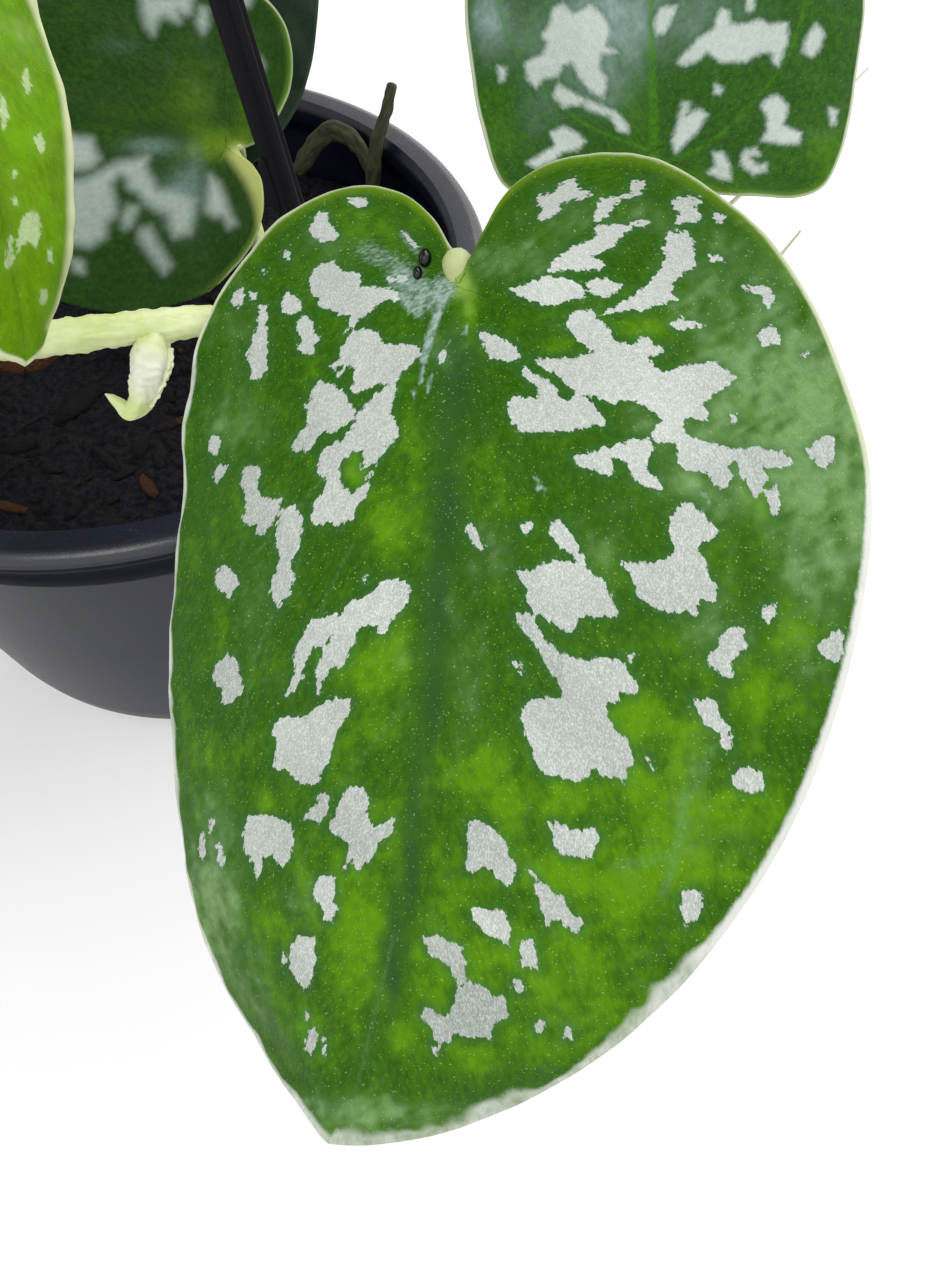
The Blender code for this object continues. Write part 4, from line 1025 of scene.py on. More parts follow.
def bladeHalf(leaf, side, seed):
    # One half of a blade. A row is a quadratic curve from the midrib out to the margin, a column
    # a share of the way out. Rows run from the tip round to the notch, and those of the last two
    # fifths all start where the stalk meets the blade. The height over the blade's plane is
    # an arch along it, a fold at the midrib, the drop of the margin and the lift of the lobe.
    base, left, forward, up, length = leafAxes(leaf)
    outline = leaf["left"] if side > 0 else leaf["right"]
    wide = leaf["wideLeft"] if side > 0 else leaf["wideRight"]
    drop = leaf["dropLeft"] if side > 0 else leaf["dropRight"]
    angle, share = np.radians([entry[0] for entry in outline]), np.array([entry[1] for entry in outline])
    corners = np.stack([side * wide * np.sin(angle) * share, np.cos(angle) * share], -1)
    turn = np.linspace(0, 1, leaf["rows"] + 1)[:, None]
    rim = smoothRoute(corners, 24)
    margin = evenly(rim, turn[:, 0])
    marginLength = walked(rim)[-1] * length
    start = np.clip(1 - turn / blade["fan"], 0, 1) ** 1.15
    midrib = np.hstack([leaf["bow"] * 4 * start * (1 - start) * (0.5 + start), start])
    span = np.linalg.norm(margin - midrib, axis=1, keepdims=True)
    bend = 0.12 * span * np.clip(1 - turn / 0.9, 0, 1)
    middle = (midrib + margin) / 2 - np.hstack([0 * bend, bend])
    tangent = unit(np.gradient(margin, axis=0))
    rowEnd = unit(margin - middle)
    slant = np.abs(tangent[:, 0] * rowEnd[:, 1] - tangent[:, 1] * rowEnd[:, 0])[:, None]

    def surface(out):
        u = out[..., None]
        flat = (1 - u) ** 2 * midrib[:, None] + 2 * u * (1 - u) * middle[:, None] + u**2 * margin[:, None]
        across, along = flat[..., 0], flat[..., 1]
        arch = np.where(along > 0, np.sin(np.pi * np.clip(along, 0, 1)), np.pi * along * np.exp(2 * along))
        lobe = ramp(0.55, 0.85, turn)
        height = leaf["arch"] * arch + leaf["fold"] * np.abs(across)
        height = height - drop * out**2.4 * (1 - lobe) * ramp(0, 0.12, turn)
        groove = blade["channel"] * np.exp(-((out / 0.12) ** 2)) * ramp(0.02, 0.3, turn)
        groove = groove * (1 - 0.7 * ramp(0.4, 0.62, turn))
        height = height + leaf["lift"] * out**2 * lobe * ramp(0.03, 0.17, span) - groove
        height = height + blade["wave"] * out**3 * ripple(seed, flat, 0.16) * ramp(0, 0.06, turn)
        mmFlat = flat * length
        swell = blade["quilt"] * ripple(seed + 1, mmFlat, 11)
        swell = swell + blade["pucker"] * ripple(seed + 2, mmFlat, 3.5)
        walk = turn * marginLength + 0.4 * ripple(seed + 3, mmFlat, 9)
        fromVein = np.abs(walk % blade["veinGap"] - blade["veinGap"] / 2)
        rise = blade["veinRise"] * (1 - ramp(0.0, 1.1, fromVein))
        swell = swell + rise * ramp(0.05, 0.3, out) * (1 - out)
        lift = height * length + swell * ramp(0.0, 0.06, turn)
        points = base + mmFlat[..., :1] * left + mmFlat[..., 1:] * forward + lift[..., None] * up
        ribX = leaf["bow"] * 4 * along * (1 - along) * (0.5 + along) * ((along > 0) & (along < 1))
        rib = np.abs(across - ribX) * length
        facing = np.cross(np.gradient(points, axis=0), np.gradient(points, axis=1))
        facing = unit(facing * np.sign(facing @ up)[..., None])
        share = ramp(0.0, 1.5, rib)[..., None] * ramp(0.0, 0.02, turn)[..., None]
        facing = unit(facing * share + up * (1 - share))
        edge = (1 - out) * span * length * np.maximum(slant, 0.12)
        return points, flat, facing, rib, edge

    def face(share):
        # One face's points, the way out of the blade there, how thick it is and the values.
        points, flat, facing, rib, edge = surface(share)
        full = np.sqrt(np.clip(1 - (1 - np.clip(edge / blade["edgeRound"], 0, 1)) ** 2, 0, 1))
        full[0] = 0
        across, along = flat[..., 0] * length, flat[..., 1]
        near, beyond = np.minimum(turn, blade["fan"]), np.maximum(turn - blade["fan"], 0) * share
        values = dict(
            vein=np.stack([marginLength * (near + beyond), share * span * length, across], -1),
            flat=np.stack([across, along * length, 0 * share], -1),
            edge=edge, rib=rib, along=along,
        )
        return points, facing, full, values

    edgeShare = np.minimum(0.12, 0.6 / np.maximum(span * length, 1e-6))
    outermost = 1 - edgeShare * np.array([blade["lastColumns"]])
    upper = np.linspace(0, 1, leaf["columns"] - 3)[None, :] * (1 - edgeShare)
    points, facing, full, values = face(np.hstack([upper, outermost]))
    top = points + facing * (full * blade["thickness"] / 2)[..., None]
    lower = np.linspace(0, 1, blade["under"] - 3)[None, :] ** 1.4 * (1 - edgeShare)
    points, facing, full, under = face(np.hstack([lower, outermost]))
    keel = blade["keel"] * np.exp(-((under["rib"] / 0.9) ** 2)) * ramp(0.0, 0.12, under["along"])
    keel = keel * (1 - ramp(0.6, 1, under["along"]))
    bottom = points - facing * (full * (blade["thickness"] / 2 + keel))[..., None]
    return top, values, bottom, under, length


# Soft touches that the photograph shows on a leaf, in its pixels: bells as (across, down, half
# width, half height, strength), and strokes as (width, strength, points).
photoTouches = dict(
    leaf_front=dict(
        # rim: more painted highlight on the lobes' rims here
        rim=((458, 225, 70, 60, 0.35),),
        # sheen: painted highlight on the silver, and painted shade where the strength is below 0
        sheen=(
            (640, 380, 110, 90, 0.4), (560, 260, 90, 60, 0.2), (350, 300, 60, 60, 0.1),
            (540, 560, 60, 60, 0.1), (580, 720, 70, 60, -0.1), (470, 1010, 120, 60, -0.4),
            (480, 860, 120, 50, -0.15), (330, 640, 60, 50, 0.1), (516, 590, 16, 40, -0.25),
            (556, 670, 12, 30, -0.3), (240, 660, 60, 300, -0.1),
        ),
        glow=(
            (376, 222, 55, 22, 0.4), (324, 329, 14, 18, 0.5), (309, 379, 14, 20, 0.5),
            (357, 471, 12, 20, 0.7), (409, 424, 10, 20, 0.6), (419, 473, 34, 54, 0.3),
            (468, 473, 24, 40, 0.35), (379, 518, 38, 28, 0.3), (396, 528, 38, 24, 0.35),
            (361, 664, 36, 26, 0.95), (388, 648, 18, 38, 0.7), (221, 640, 12, 30, 0.5),
            (203, 750, 24, 25, 0.7), (272, 801, 22, 15, 0.8), (255, 745, 20, 20, 0.4),
            (489, 755, 18, 24, 0.8), (509, 806, 14, 24, 0.9), (636, 330, 45, 15, 1.0),
            (558, 347, 20, 9, 0.8), (482, 500, 28, 40, 0.3), (763, 497, 14, 20, 1.0),
            (692, 478, 20, 14, 0.5), (807, 391, 12, 8, 0.4), (650, 637, 25, 18, 0.5),
            (636, 724, 30, 20, 0.8), (791, 634, 28, 30, 0.8), (757, 696, 34, 24, 0.9),
            (693, 733, 24, 24, 0.7), (659, 783, 38, 26, 0.9), (566, 797, 44, 18, 0.7),
            (726, 817, 38, 24, 1.0), (482, 775, 22, 24, 0.5), (693, 873, 40, 22, 0.8),
            (580, 880, 40, 14, 0.7), (365, 920, 24, 56, 0.6), (356, 984, 28, 38, 0.6),
            (437, 986, 16, 18, 0.8), (575, 980, 48, 36, 0.8), (494, 953, 24, 18, 0.7),
            (399, 1040, 18, 13, 0.9), (479, 1058, 30, 14, 0.8), (269, 920, 14, 30, 0.5),
            (305, 1028, 16, 18, 0.5), (625, 893, 38, 28, 0.8), (462, 292, 16, 18, 1.3),
            (468, 318, 10, 20, 1.1), (770, 240, 30, 30, 0.3), (620, 860, 190, 170, 0.55),
            (360, 880, 90, 180, 0.45), (400, 480, 50, 90, 0.08), (500, 1000, 160, 60, 0.3),
            (280, 440, 20, 30, 0.3), (230, 520, 24, 40, 0.35),
        ),
        # mist: painted sheen where the leaf reflects light
        mist=(
            (770, 330, 70, 110, 0.6), (830, 500, 60, 110, 0.8), (770, 430, 70, 70, 0.65),
            (700, 470, 50, 40, 0.5), (720, 640, 36, 40, 0.45), (236, 420, 26, 40, 0.6),
            (240, 330, 24, 40, 0.35), (456, 640, 22, 60, 0.22), (470, 700, 20, 50, 0.35),
            (446, 350, 36, 24, 0.3), (404, 655, 14, 16, 0.3), (520, 258, 50, 22, 0.6),
            (650, 420, 34, 24, 0.4), (490, 560, 26, 44, 0.35), (690, 800, 24, 70, 0.4),
            (214, 880, 30, 80, 0.9), (250, 980, 22, 40, 0.5), (350, 1112, 64, 20, 0.75),
            (460, 1116, 70, 12, 0.5), (600, 560, 30, 30, 0.4), (860, 400, 16, 130, 0.4),
            (600, 215, 60, 22, 0.5), (700, 300, 30, 60, 0.35), (800, 640, 20, 60, 0.35),
            (300, 900, 24, 26, 0.4), (350, 430, 20, 60, 0.25), (260, 620, 24, 60, 0.35),
            (330, 250, 40, 20, 0.4),
        ),
        dusk=(
            (466, 386, 26, 50, 0.7), (454, 500, 18, 50, 0.7), (440, 600, 16, 50, 0.6),
            (436, 700, 12, 50, 0.4), (412, 860, 8, 80, 0.5), (394, 960, 8, 60, 0.8),
            (330, 240, 60, 30, 0.2), (560, 250, 30, 20, 0.3),
        ),
        line=(
            (4, 0.2, ((394, 935), (378, 1000), (366, 1050), (356, 1091))),
            (9, 0.35, ((712, 745), (702, 772), (684, 800), (680, 836), (664, 892))),
            (8, 0.3, ((678, 850), (650, 862), (620, 866))),
            (2, 0.35, ((352, 545), (330, 590), (300, 660))),
            (2, 0.3, ((420, 350), (330, 470), (250, 560))),
            (2, 0.3, ((300, 560), (258, 650), (240, 740))),
            (2, 0.3, ((410, 700), (330, 800), (290, 900))),
        ),
        notch=(
            (15, 0.8, ((457, 262), (459, 274), (462, 284))), (17, 0.4, ((462, 280), (466, 292))),
            (8, 0.3, ((466, 292), (469, 312))),
        ),
        # wet: the film's painted reflection, painted glints and a few white specks
        wet=(
            (26, 0.8, ((400, 276), (416, 288), (430, 296), (444, 288))),
            (13, 0.75, ((404, 294), (411, 306), (419, 312))),
            (8, 0.95, ((449, 290), (438, 312), (430, 336), (424, 360))),
            (4, 0.9, ((424, 360), (420, 384))), (4, 0.9, ((432, 374), (428, 392))),
            (3, 0.9, ((413, 390), (414, 400))), (24, 0.5, ((366, 252), (392, 262), (416, 276))),
            (7, 0.55, ((402, 234), (410, 244), (418, 254))), (4, 0.8, ((467, 325), (465, 334))),
            (3, 0.9, ((533, 476), (540, 484), (546, 494))), (3, 0.8, ((540, 484), (536, 492))),
            (3, 0.8, ((700, 492), (708, 500), (704, 512))),
        ),
    ),
    leaf_right=dict(
        calm=0.6,
        glow=(
            (640, 120, 20, 60, 0.5), (830, 150, 30, 40, 0.6), (500, 120, 20, 40, 0.5),
            (700, 180, 60, 20, 0.4),
        ),
        # mist: painted sheen
        mist=(
            (490, 20, 20, 34, 0.8), (566, 36, 60, 54, 0.55), (620, 20, 44, 54, 0.6),
            (604, 92, 26, 26, 0.4), (700, 14, 60, 40, 0.5), (540, 110, 26, 24, 0.2),
        ),
        line=(
            (7, 0.9, ((655, 190), (654, 120), (652, 60), (652, -20))),
            (4, 0.7, ((648, 150), (574, 117), (515, 49), (494, -10))),
            (4, 0.7, ((660, 165), (712, 141), (777, 73), (812, -10))),
        ),
    ),
    leaf_upper_left=dict(
        calm=0.75,
        glow=(
            (216, 146, 30, 16, 1.2), (190, 100, 30, 40, 0.5), (120, 120, 30, 20, 0.3),
            (250, 110, 14, 40, 0.5),
        ),
        # mist: painted sheen
        mist=(
            (178, 200, 22, 30, 0.8), (150, 146, 30, 10, 0.7), (120, 46, 26, 12, 0.25),
            (196, 176, 14, 34, 0.45),
        ),
        notch=((17, 0.85, ((238, 154), (254, 178), (264, 202), (270, 232))),),
        plain=((130, 312, 90, 26, 1.0),),
    ),
    leaf_near_left=dict(
        glow=((50, 270, 20, 60, 0.9), (20, 140, 20, 30, 0.6), (50, 110, 14, 40, 0.6)),
        # mist: painted sheen
        mist=((20, 40, 30, 40, 0.4),),
        notch=(
            (9, 1.0, ((28, -12), (42, 21), (56, 60), (67, 105), (72, 168), (72, 242), (64, 295), (52, 328))),
        ),
    ),
)


def bells(across, down, ovals):
    total = np.zeros(across.shape)
    for x, y, wide, tall, strength in ovals:
        total += strength * np.exp(-(((across - x) / wide) ** 2) - ((down - y) / tall) ** 2)
    return total


def strokes(across, down, entries):
    # The strength of the strongest stroke at each point, full on its line and 0 past its width.
    total = np.zeros(across.shape)
    for width, strength, points in entries:
        route = smoothRoute(points, 5)
        gap = np.full(across.shape, farOff)
        for start, end in zip(route[:-1], route[1:]):
            gap = np.minimum(gap, awayFromLine(across, down, start, end))
        total = np.maximum(total, strength * (1 - ramp(0.1 * width, width, gap)))
    return total


def leafMarks(name, leaf, top, values, length, seed):
    flat = values["flat"][..., :2]
    heading = unit(np.gradient(flat, axis=1))
    silver = drawnMarks(seed, leaf["spots"] // 2, flat, heading, length)
    if name in photoMarks:
        across, down, _ = toPhoto(top)
        shown = (across > -6) & (across < view["width"]) & (down > -6)
        silver = np.where(shown, shownMarks(top, photoMarks[name]), silver)
    return silver


# The silvery fringe of the front leaf's margin, a painted sheen where its rolled-down edge reflects
# light: its least width in millimetres, and stretches where it widens as (down from, to, across from,
# to, added width, whether the width sways), in the photograph's pixels. At the notch it narrows again,
# by a bell. The second table says where the tone of its painted sheen turns.
frontFringe = dict(
    least=0.14,
    stretches=(
        (420, 540, 560, 640, 0.72, False), (880, 1000, 400, 480, 0.9, True),
        (1060, 1110, 310, 360, 1.2, True), (220, 420, 420, 330, 0.62, True),
        (900, 1040, 420, 330, 0.3, False),
    ),
    notch=(456, 220, 60, 50, 0.8),
)
frostTone = dict(left=(300, 380), right=(600, 760), low=(900, 1050))


def leafFringe(name, across, down, flat):
    # How wide the silvery fringe of the margin, a painted sheen on its rolled edge, is in millimetres.
    if name != "leaf_front":
        return np.clip(0.1 + 0.1 * ripple(6, flat, 14), 0.05, 1)
    sway = np.clip(1 + 0.35 * ripple(7, flat, 9) + 0.25 * ripple(8, flat, 3.5), 0.4, 1.8)
    width = frontFringe["least"]
    for downFrom, downTo, acrossFrom, acrossTo, added, sways in frontFringe["stretches"]:
        stretch = ramp(downFrom, downTo, down) * ramp(acrossFrom, acrossTo, across)
        width = width + stretch * added * (sway if sways else 1)
    return width * (1 - bells(across, down, [frontFringe["notch"]]))


def leafTouches(name, top, values, length):
    # The glow and band of the green and its mist, a painted sheen; the rim, a painted highlight; the notch;
    # the wet film's painted reflection and glints; and the lines, the silver's painted sheen and shade and
    # the tone of the frost, a painted sheen. What the photograph shows adds to soft noise.
    across, down, _ = toPhoto(top)
    flat, rib, edge, along = values["flat"], values["rib"], values["edge"], values["along"]
    seen = photoTouches.get(name, {})
    lively = 1 - seen.get("calm", 0)

    def patches(kind):
        return bells(across, down, seen.get(kind, ()))

    def drawn(kind):
        return strokes(across, down, seen.get(kind, ()))

    cloud = 0.4 * ripple(21, flat, 12) + 0.4 * ripple(22, flat, 5) + 0.28 * ripple(23, flat, 2.4)
    cloud = (cloud + 0.14 * ripple(27, flat, 1.4)) * lively
    veil = 0.4 * ripple(24, flat, 10) + 0.4 * ripple(25, flat, 4.2) + 0.4 * ripple(26, flat, 2.2)
    veil = (veil + 0.3 * ripple(28, flat, 1.3)) * lively
    glow = 0.6 * ramp(-0.4, 1.2, cloud) * (0.5 if seen else 1.0)
    glow = glow + patches("glow") * np.clip(0.6 + 0.3 * cloud, 0.1, 2)
    reach = length / 44
    band = 1 - ramp(0.2 * reach, reach * 1.3, rib + 0.5 * reach * veil)
    band = band * ramp(0, 0.1, along) * (1 - 0.7 * ramp(0.8, 1, along))
    band = 0.34 * band + patches("dusk") * (0.8 + 0.4 * veil)
    # mist: a painted sheen, a little everywhere by noise and more at the places listed.
    mist = 0.14 * ramp(0.1, 1.2, veil) + patches("mist") * np.clip(0.78 + 0.42 * veil, 0.1, 2)
    # lobe: where the painted highlight of the lobes' rims lies
    lobe = (1 - ramp(0.1, 1.4, edge)) * (1 - ramp(-0.12, 0.06, along)) * (0.6 + patches("rim"))
    line = drawn("line") if seen else 0.5 * (1 - ramp(0.2, 0.7, rib))
    # The silver's painted sheen: random, plus painted highlight and painted shade at the places listed.
    sheen = 0.55 + 0.15 * ripple(29, flat, 16) + patches("sheen")
    # The tone of the frost's painted sheen: brighter to the right, duller to the left and low.
    frostSheenTone = 0.5 + 0.2 * veil - 0.25 * ramp(*frostTone["left"], across)
    frostSheenTone = frostSheenTone + 0.75 * ramp(*frostTone["right"], across) * (1 - 0.5 * ramp(*frostTone["low"], down))
    return dict(
        mottle=np.clip(np.stack([glow * (1 - 0.6 * np.clip(band, 0, 1)), band, mist], -1), 0, 1),
        touch=np.clip(np.stack([lobe, drawn("notch"), drawn("wet")], -1), 0, 1),
        lines=np.clip(np.stack([line, sheen, frostSheenTone], -1), 0, 1),
    )


def makeLeaf(name, entry, seed):
    # A blade of two halves, each with an upper face, which has all the values, and a lower one,
    # which has only its veins and its distance from the margin.
    leaf = {**leafPlain, **entry}
    faces = []
    for side in (1, -1):
        top, values, bottom, under, length = bladeHalf(leaf, side, seed)
        across, down, _ = toPhoto(top)
        silver = leafMarks(name, leaf, top, values, length, seed * 2 + side)
        fringe = leafFringe(name, across, down, values["flat"])
        edge = values["edge"] + 3 * bells(across, down, photoTouches.get(name, {}).get("plain", ()))
        shown = dict(
            vein=values["vein"], rib=values["rib"], marks=np.stack([silver, edge, fringe], -1),
            **leafTouches(name, top, values, length),
        )
        hidden = {key: np.zeros((*under["edge"].shape, *value.shape[2:])) for key, value in shown.items()}
        hidden.update(vein=under["vein"], rib=under["rib"])
        hidden["marks"][..., 1] = under["edge"]
        faces += [patch(top, shown, 0), patch(bottom, hidden, 1)]
    makePiece(camel(name), faces, (leafTops[leaf["tone"]], leafBelow), (name,))
    return faces


leafSurfaces = {}
for stemNumber, stem in enumerate(stems.values()):
    for leafNumber, (leafName, entry) in enumerate(stem["leaves"].items()):
        leafSurfaces[leafName] = makeLeaf(leafName, entry, 100 * stemNumber + 10 * leafNumber + 11)
print("leaves made:", len(leafSurfaces))


# Stems

vine = dict(
    radius=2.6,         # where it leaves the soil
    taper=0.25,         # share of it that is lost by the end
    stalk=1.25,         # radius of a leaf stalk
    knee=0.35,          # how much thicker its joint below the blade is
    below=1.4,          # how far the stalk ends below the blade's groove
    knob=1.55,          # radius of its end above the blade, on a leaf of the length knobLength
    knobLength=95,
    scales=0.22,        # height of the ragged papery scales
    ringGap=17,         # between the rings of the nodes
    rootRadius=(0.5, 0.16),
)


def vineRelief(seed):
    def relief(cosine, sine, length, share):
        place = aroundTube(vine["radius"], cosine, sine, length)
        scraps = ramp(0.1, 0.35, ripple(seed, place, 3.2)) * vine["scales"]
        rings = 0.16 * np.exp(-(((length + 6) % vine["ringGap"] - vine["ringGap"] / 2) / 0.9) ** 2)
        return scraps + rings + 0.1 * ripple(seed + 1, place, 1.3) + 0.12 * ripple(seed + 2, place, 6) - 0.3
    return relief


def stalkParts(leaf, seed):
    # A leaf stalk, which thickens at its foot and at the joint below the blade, and the end of it
    # that comes up through the notch to the blade's upper face.
    base, left, forward, up, length = leafAxes(leaf)
    below = blade["channel"] * length + vine["below"]
    points = [np.array(point, float) for point in leaf["stalk"]]
    route = smoothRoute([*points, base - up * (below + 4.5), base - up * below], 14)
    share = np.linspace(0, 1, len(route))
    radius = vine["stalk"] * (1.35 - 0.35 * ramp(0, 0.5, share) + vine["knee"] * ramp(0.62, 0.9, share))

    def relief(cosine, sine, walk, share):
        groove = -0.35 * np.exp(-(((sine - 1) / 0.25) ** 2)) * (1 - ramp(0.5, 0.8, share))
        return groove + 0.05 * ripple(seed, aroundTube(1, cosine, sine, walk), 1.6)

    size = length / vine["knobLength"]
    knob = smoothRoute(
        [
            base + left * 0.3 - up * (below + 2.0) - forward * 2.4 * size,
            base + left * 0.7 - up * 1.1 * size - forward * 2.9 * size,
            base + left * 0.5 - up * 1.4 * size - forward * 1.5 * size,
            base - up * 2.8 * size + forward * 0.6 * size,
        ],
        8,
    )
    share = np.linspace(0, 1, len(knob))
    swell = vine["knob"] * size * leaf["knob"] * np.interp(share, (0, 0.4, 0.7, 1), (0.85, 1.1, 1.0, 0.6))
    return [tube(route, radius, 18, relief), tube(knob, swell, 24, shade=-0.85)]


# The curled shoot under the front vine and the ragged frill beside it, as (x, y, z, radius).
shoot = dict(
    route=(
        (32.4, -72, 134.6, 1.5), (33, -74.4, 133.8, 2.15), (32.9, -76.9, 132.6, 2.3),
        (32.2, -78.8, 130.8, 1.95), (31.1, -79.9, 129, 1.5), (29.8, -80.2, 127.9, 1.15),
        (28.5, -79.4, 128.2, 0.85), (27.3, -78.6, 128.6, 0.5),
    ),
    tip=(26.6, -78.2, 128.8, 0.12),
    frill=(
        (35.4, -75.8, 133.6, 0.45), (35.2, -77.4, 132.6, 0.6), (34.1, -79.2, 130.9, 0.55),
        (32.6, -80.5, 129.1, 0.4),
    ),
    wrinkle=0.09,
)


def shootParts():
    path = np.vstack([smoothRoute(shoot["route"], 18), [shoot["tip"]]])
    path = evenly(path, np.linspace(0, 1, 110))

    def relief(cosine, sine, length, share):
        place = aroundTube(2.2, cosine, sine, length)
        fold = np.sin(length * 5 + 6 * cosine + 2.6 * ripple(71, place, 2.6)) * shoot["wrinkle"]
        return fold * (1 - ramp(0.5, 0.8, share)) + 0.16 * ripple(72, place, 2.6) - 0.14

    body = tube(path[:, :3], path[:, 3], 40, relief, seam=np.pi)
    share = body["values"]["walk"][..., 2]
    body["values"]["shade"] = 0.85 * ramp(0.2, 0.38, share) - 0.83 * ramp(0.42, 0.68, share)
    frill = smoothRoute(shoot["frill"], 12)

    def ragged(cosine, sine, length, share):
        return 0.22 * ripple(73, aroundTube(0.6, cosine, sine, length), 0.9)

    return [body, tube(frill[:, :3], frill[:, 3], 20, ragged, flat=0.5, shade=0.25)]


# Roots that spring from each vine, as points. The front leaf hides the feet of the right one's.
aerialRoots = dict(
    vine_right=(
        ((103, -46, 107), (110, -47, 113), (115, -45, 121), (119, -43, 127)),
        ((90, -42, 114), (106, -34, 120), (121, -22, 127), (134, -10, 133)),
    ),
    vine_front=(((-30, -50, 111), (-33, -52, 104), (-32, -51, 96)),),
    vine_left=(((-90, 19, 99), (-94, 15, 90), (-93, 13, 82)),),
    vine_back=(((-19, 88, 101), (-15, 90, 92), (-16, 92, 84)),),
    vine_upright=(((3, 9, 124), (7, 13, 118), (8, 14, 111)),),
)


def makeStem(name, stem, seed):
    route = smoothRoute(stem["route"], 26)
    share = np.linspace(0, 1, len(route))
    parts = [tube(route, vine["radius"] * (1 - vine["taper"] * share), 40, vineRelief(seed))]
    for number, entry in enumerate(stem["leaves"].values()):
        parts += stalkParts({**leafPlain, **entry}, seed + 10 + number)
    for points in aerialRoots[name]:
        path = smoothRoute(points, 10)
        parts.append(tube(path, np.linspace(*vine["rootRadius"], len(path)), 10, shade=0.5))
    if name == "vine_front":
        parts += shootParts()
    makePiece(camel(name), parts, (stemFlesh,), (name,))


dryParts = dict(
    stub=((48, 40, 60, 1.7), (48, 40, 76, 1.7), (49.3, 41.2, 88, 1.6), (54, 46, 101, 1.2)),
    sheath=((49, 41, 82, 1.7), (45, 47, 87, 2.3), (38, 51, 88, 2.4), (30, 49, 80, 1.8)),
)


def makeDryStem():
    parts = []
    for number, points in enumerate(dryParts.values()):
        path = smoothRoute(points, 18)

        def relief(cosine, sine, length, share, number=number):
            return 0.28 * ripple(81 + number, aroundTube(1.6, cosine, sine, 0.25 * length), 1.1) - 0.1

        parts.append(tube(path[:, :3], path[:, 3], 26, relief, flat=1.0 if number == 0 else 0.6))
    makePiece("dryStem", parts, (dryFlesh,), ("dry_stem",))


for stemNumber, (stemName, stem) in enumerate(stems.items()):
    makeStem(stemName, stem, 300 + 40 * stemNumber)
makeDryStem()
print("stems made:", len(stems) + 1)


# Pot and soil

pot = dict(
    rim=75.0, base=60.0, height=90.0, wall=1.5, floor=2.2, foot=12.0, steps=256,
    drainRadius=3.0, drainRing=40.0, drains=6,
    lipTo=88.2,         # the height where the lip's extra gloss, for a stronger highlight, ends
    grooveTo=79.2,      # and where the dull groove below it, a painted shade, ends
    corner=0.9,         # how far its corners are rounded
    crease=38,          # degrees, the sharpest edge that is shaded smooth
)


def outerWall(height):
    return pot["base"] + (0.957 * pot["rim"] - pot["base"]) * height / pot["height"]


def makePot():
    # The wall's profile runs down outside from the lip, under the foot, and up inside.
    arc = np.linspace(0, 0.5, 6) * math.pi
    footRadius = pot["base"] - pot["foot"] * (1 - np.cos(arc)) + 1.2
    foot = np.stack([footRadius, pot["foot"] * (1 - np.sin(arc))], -1)
    inner = pot["foot"] * 0.99
    outside = [
        (68.6, 90.0), (72.8, 90.0), (74.3, 89.3), (75.0, 87.9), (74.8, 86.4), (73.2, 85.6), (72.0, 84.6),
        (72.0, 82.2), (72.6, 81.4), (72.6, 79.4), (outerWall(78.6), 78.6), (outerWall(45), 45),
        (outerWall(inner), inner + 0.4), *foot[1:], (30, 0), (29, 0.5), (27, 0.5), (26, 0), (0, 0),
    ]
    inside = [
        (0, pot["floor"]), (44, pot["floor"]), (50.4, 3.2), (56.6, 6.4), (outerWall(inner) - 1.6, inner),
        (outerWall(45) - pot["wall"], 45), (outerWall(78) - pot["wall"], 78), (69.2, 82.0), (67.2, 85.5),
        (67.2, 88.4), (68.6, 90.0),
    ]
    profile = np.vstack([roundedProfile(outside, pot["corner"]), roundedProfile(inside, pot["corner"])])
    upper = int(np.argmax(profile[:, 1] < pot["lipTo"]))
    lower = int(np.argmax(profile[:, 1] < pot["grooveTo"]))
    stretches = (profile[: upper + 1], profile[upper : lower + 1], profile[lower:])
    rings = [turned(stretch, pot["steps"], finish) for finish, stretch in enumerate(stretches)]
    shell = makePiece("potShell", rings, (potPlastic, grooveShadePlastic, wallPlastic), ("pot",))
    angle = np.linspace(0, 2 * np.pi, 33)[:, None]
    cutters = []
    for number in range(pot["drains"]):
        toward = 2 * np.pi * (number + 0.5) / pot["drains"]
        radius = np.array([[0, pot["drainRadius"], pot["drainRadius"], 0]])
        height = np.array([[-5.0, -5.0, 8.0, 8.0]]) + 0 * angle
        across = pot["drainRing"] * math.cos(toward) + radius * np.cos(angle)
        down = pot["drainRing"] * math.sin(toward) + radius * np.sin(angle)
        cutters.append(patch(np.stack([across, down, height], -1)))
    drains = makePiece("drains", cutters, (potPlastic,))
    cut = shell.modifiers.new("drains", "BOOLEAN")
    cut.operation = "DIFFERENCE"
    cut.object = drains
    bpy.context.view_layer.update()
    graph = bpy.context.evaluated_depsgraph_get()
    whole = bpy.data.meshes.new_from_object(shell.evaluated_get(graph))
    shell.modifiers.clear()
    shell.data = whole
    bpy.data.objects.remove(drains, do_unlink=True)
    whole.shade_smooth()
    whole.set_sharp_from_angle(angle=math.radians(pot["crease"]))


soil = dict(
    top=72.0, seed=7, rings=110, steps=420, crumb=0.55, chipSeed=21,
    lumps=90, lumpSpread=66,     # how many, and how far out from the middle
    chips=230, chipSpread=62,
    fibres=26, fibreSpread=54,
    shownChips=(  # across, back, half length, half width, half height, heading in degrees, redness
        (-22, -8, 9, 5, 1.5, 15, 1.0), (-33, -16, 6.5, 3, 1.2, -30, 0.95), (-8, -22, 7, 2.2, 1.0, 60, 0.6),
        (-20, -34, 6, 2.4, 1.0, 5, 0.5),
    ),
)


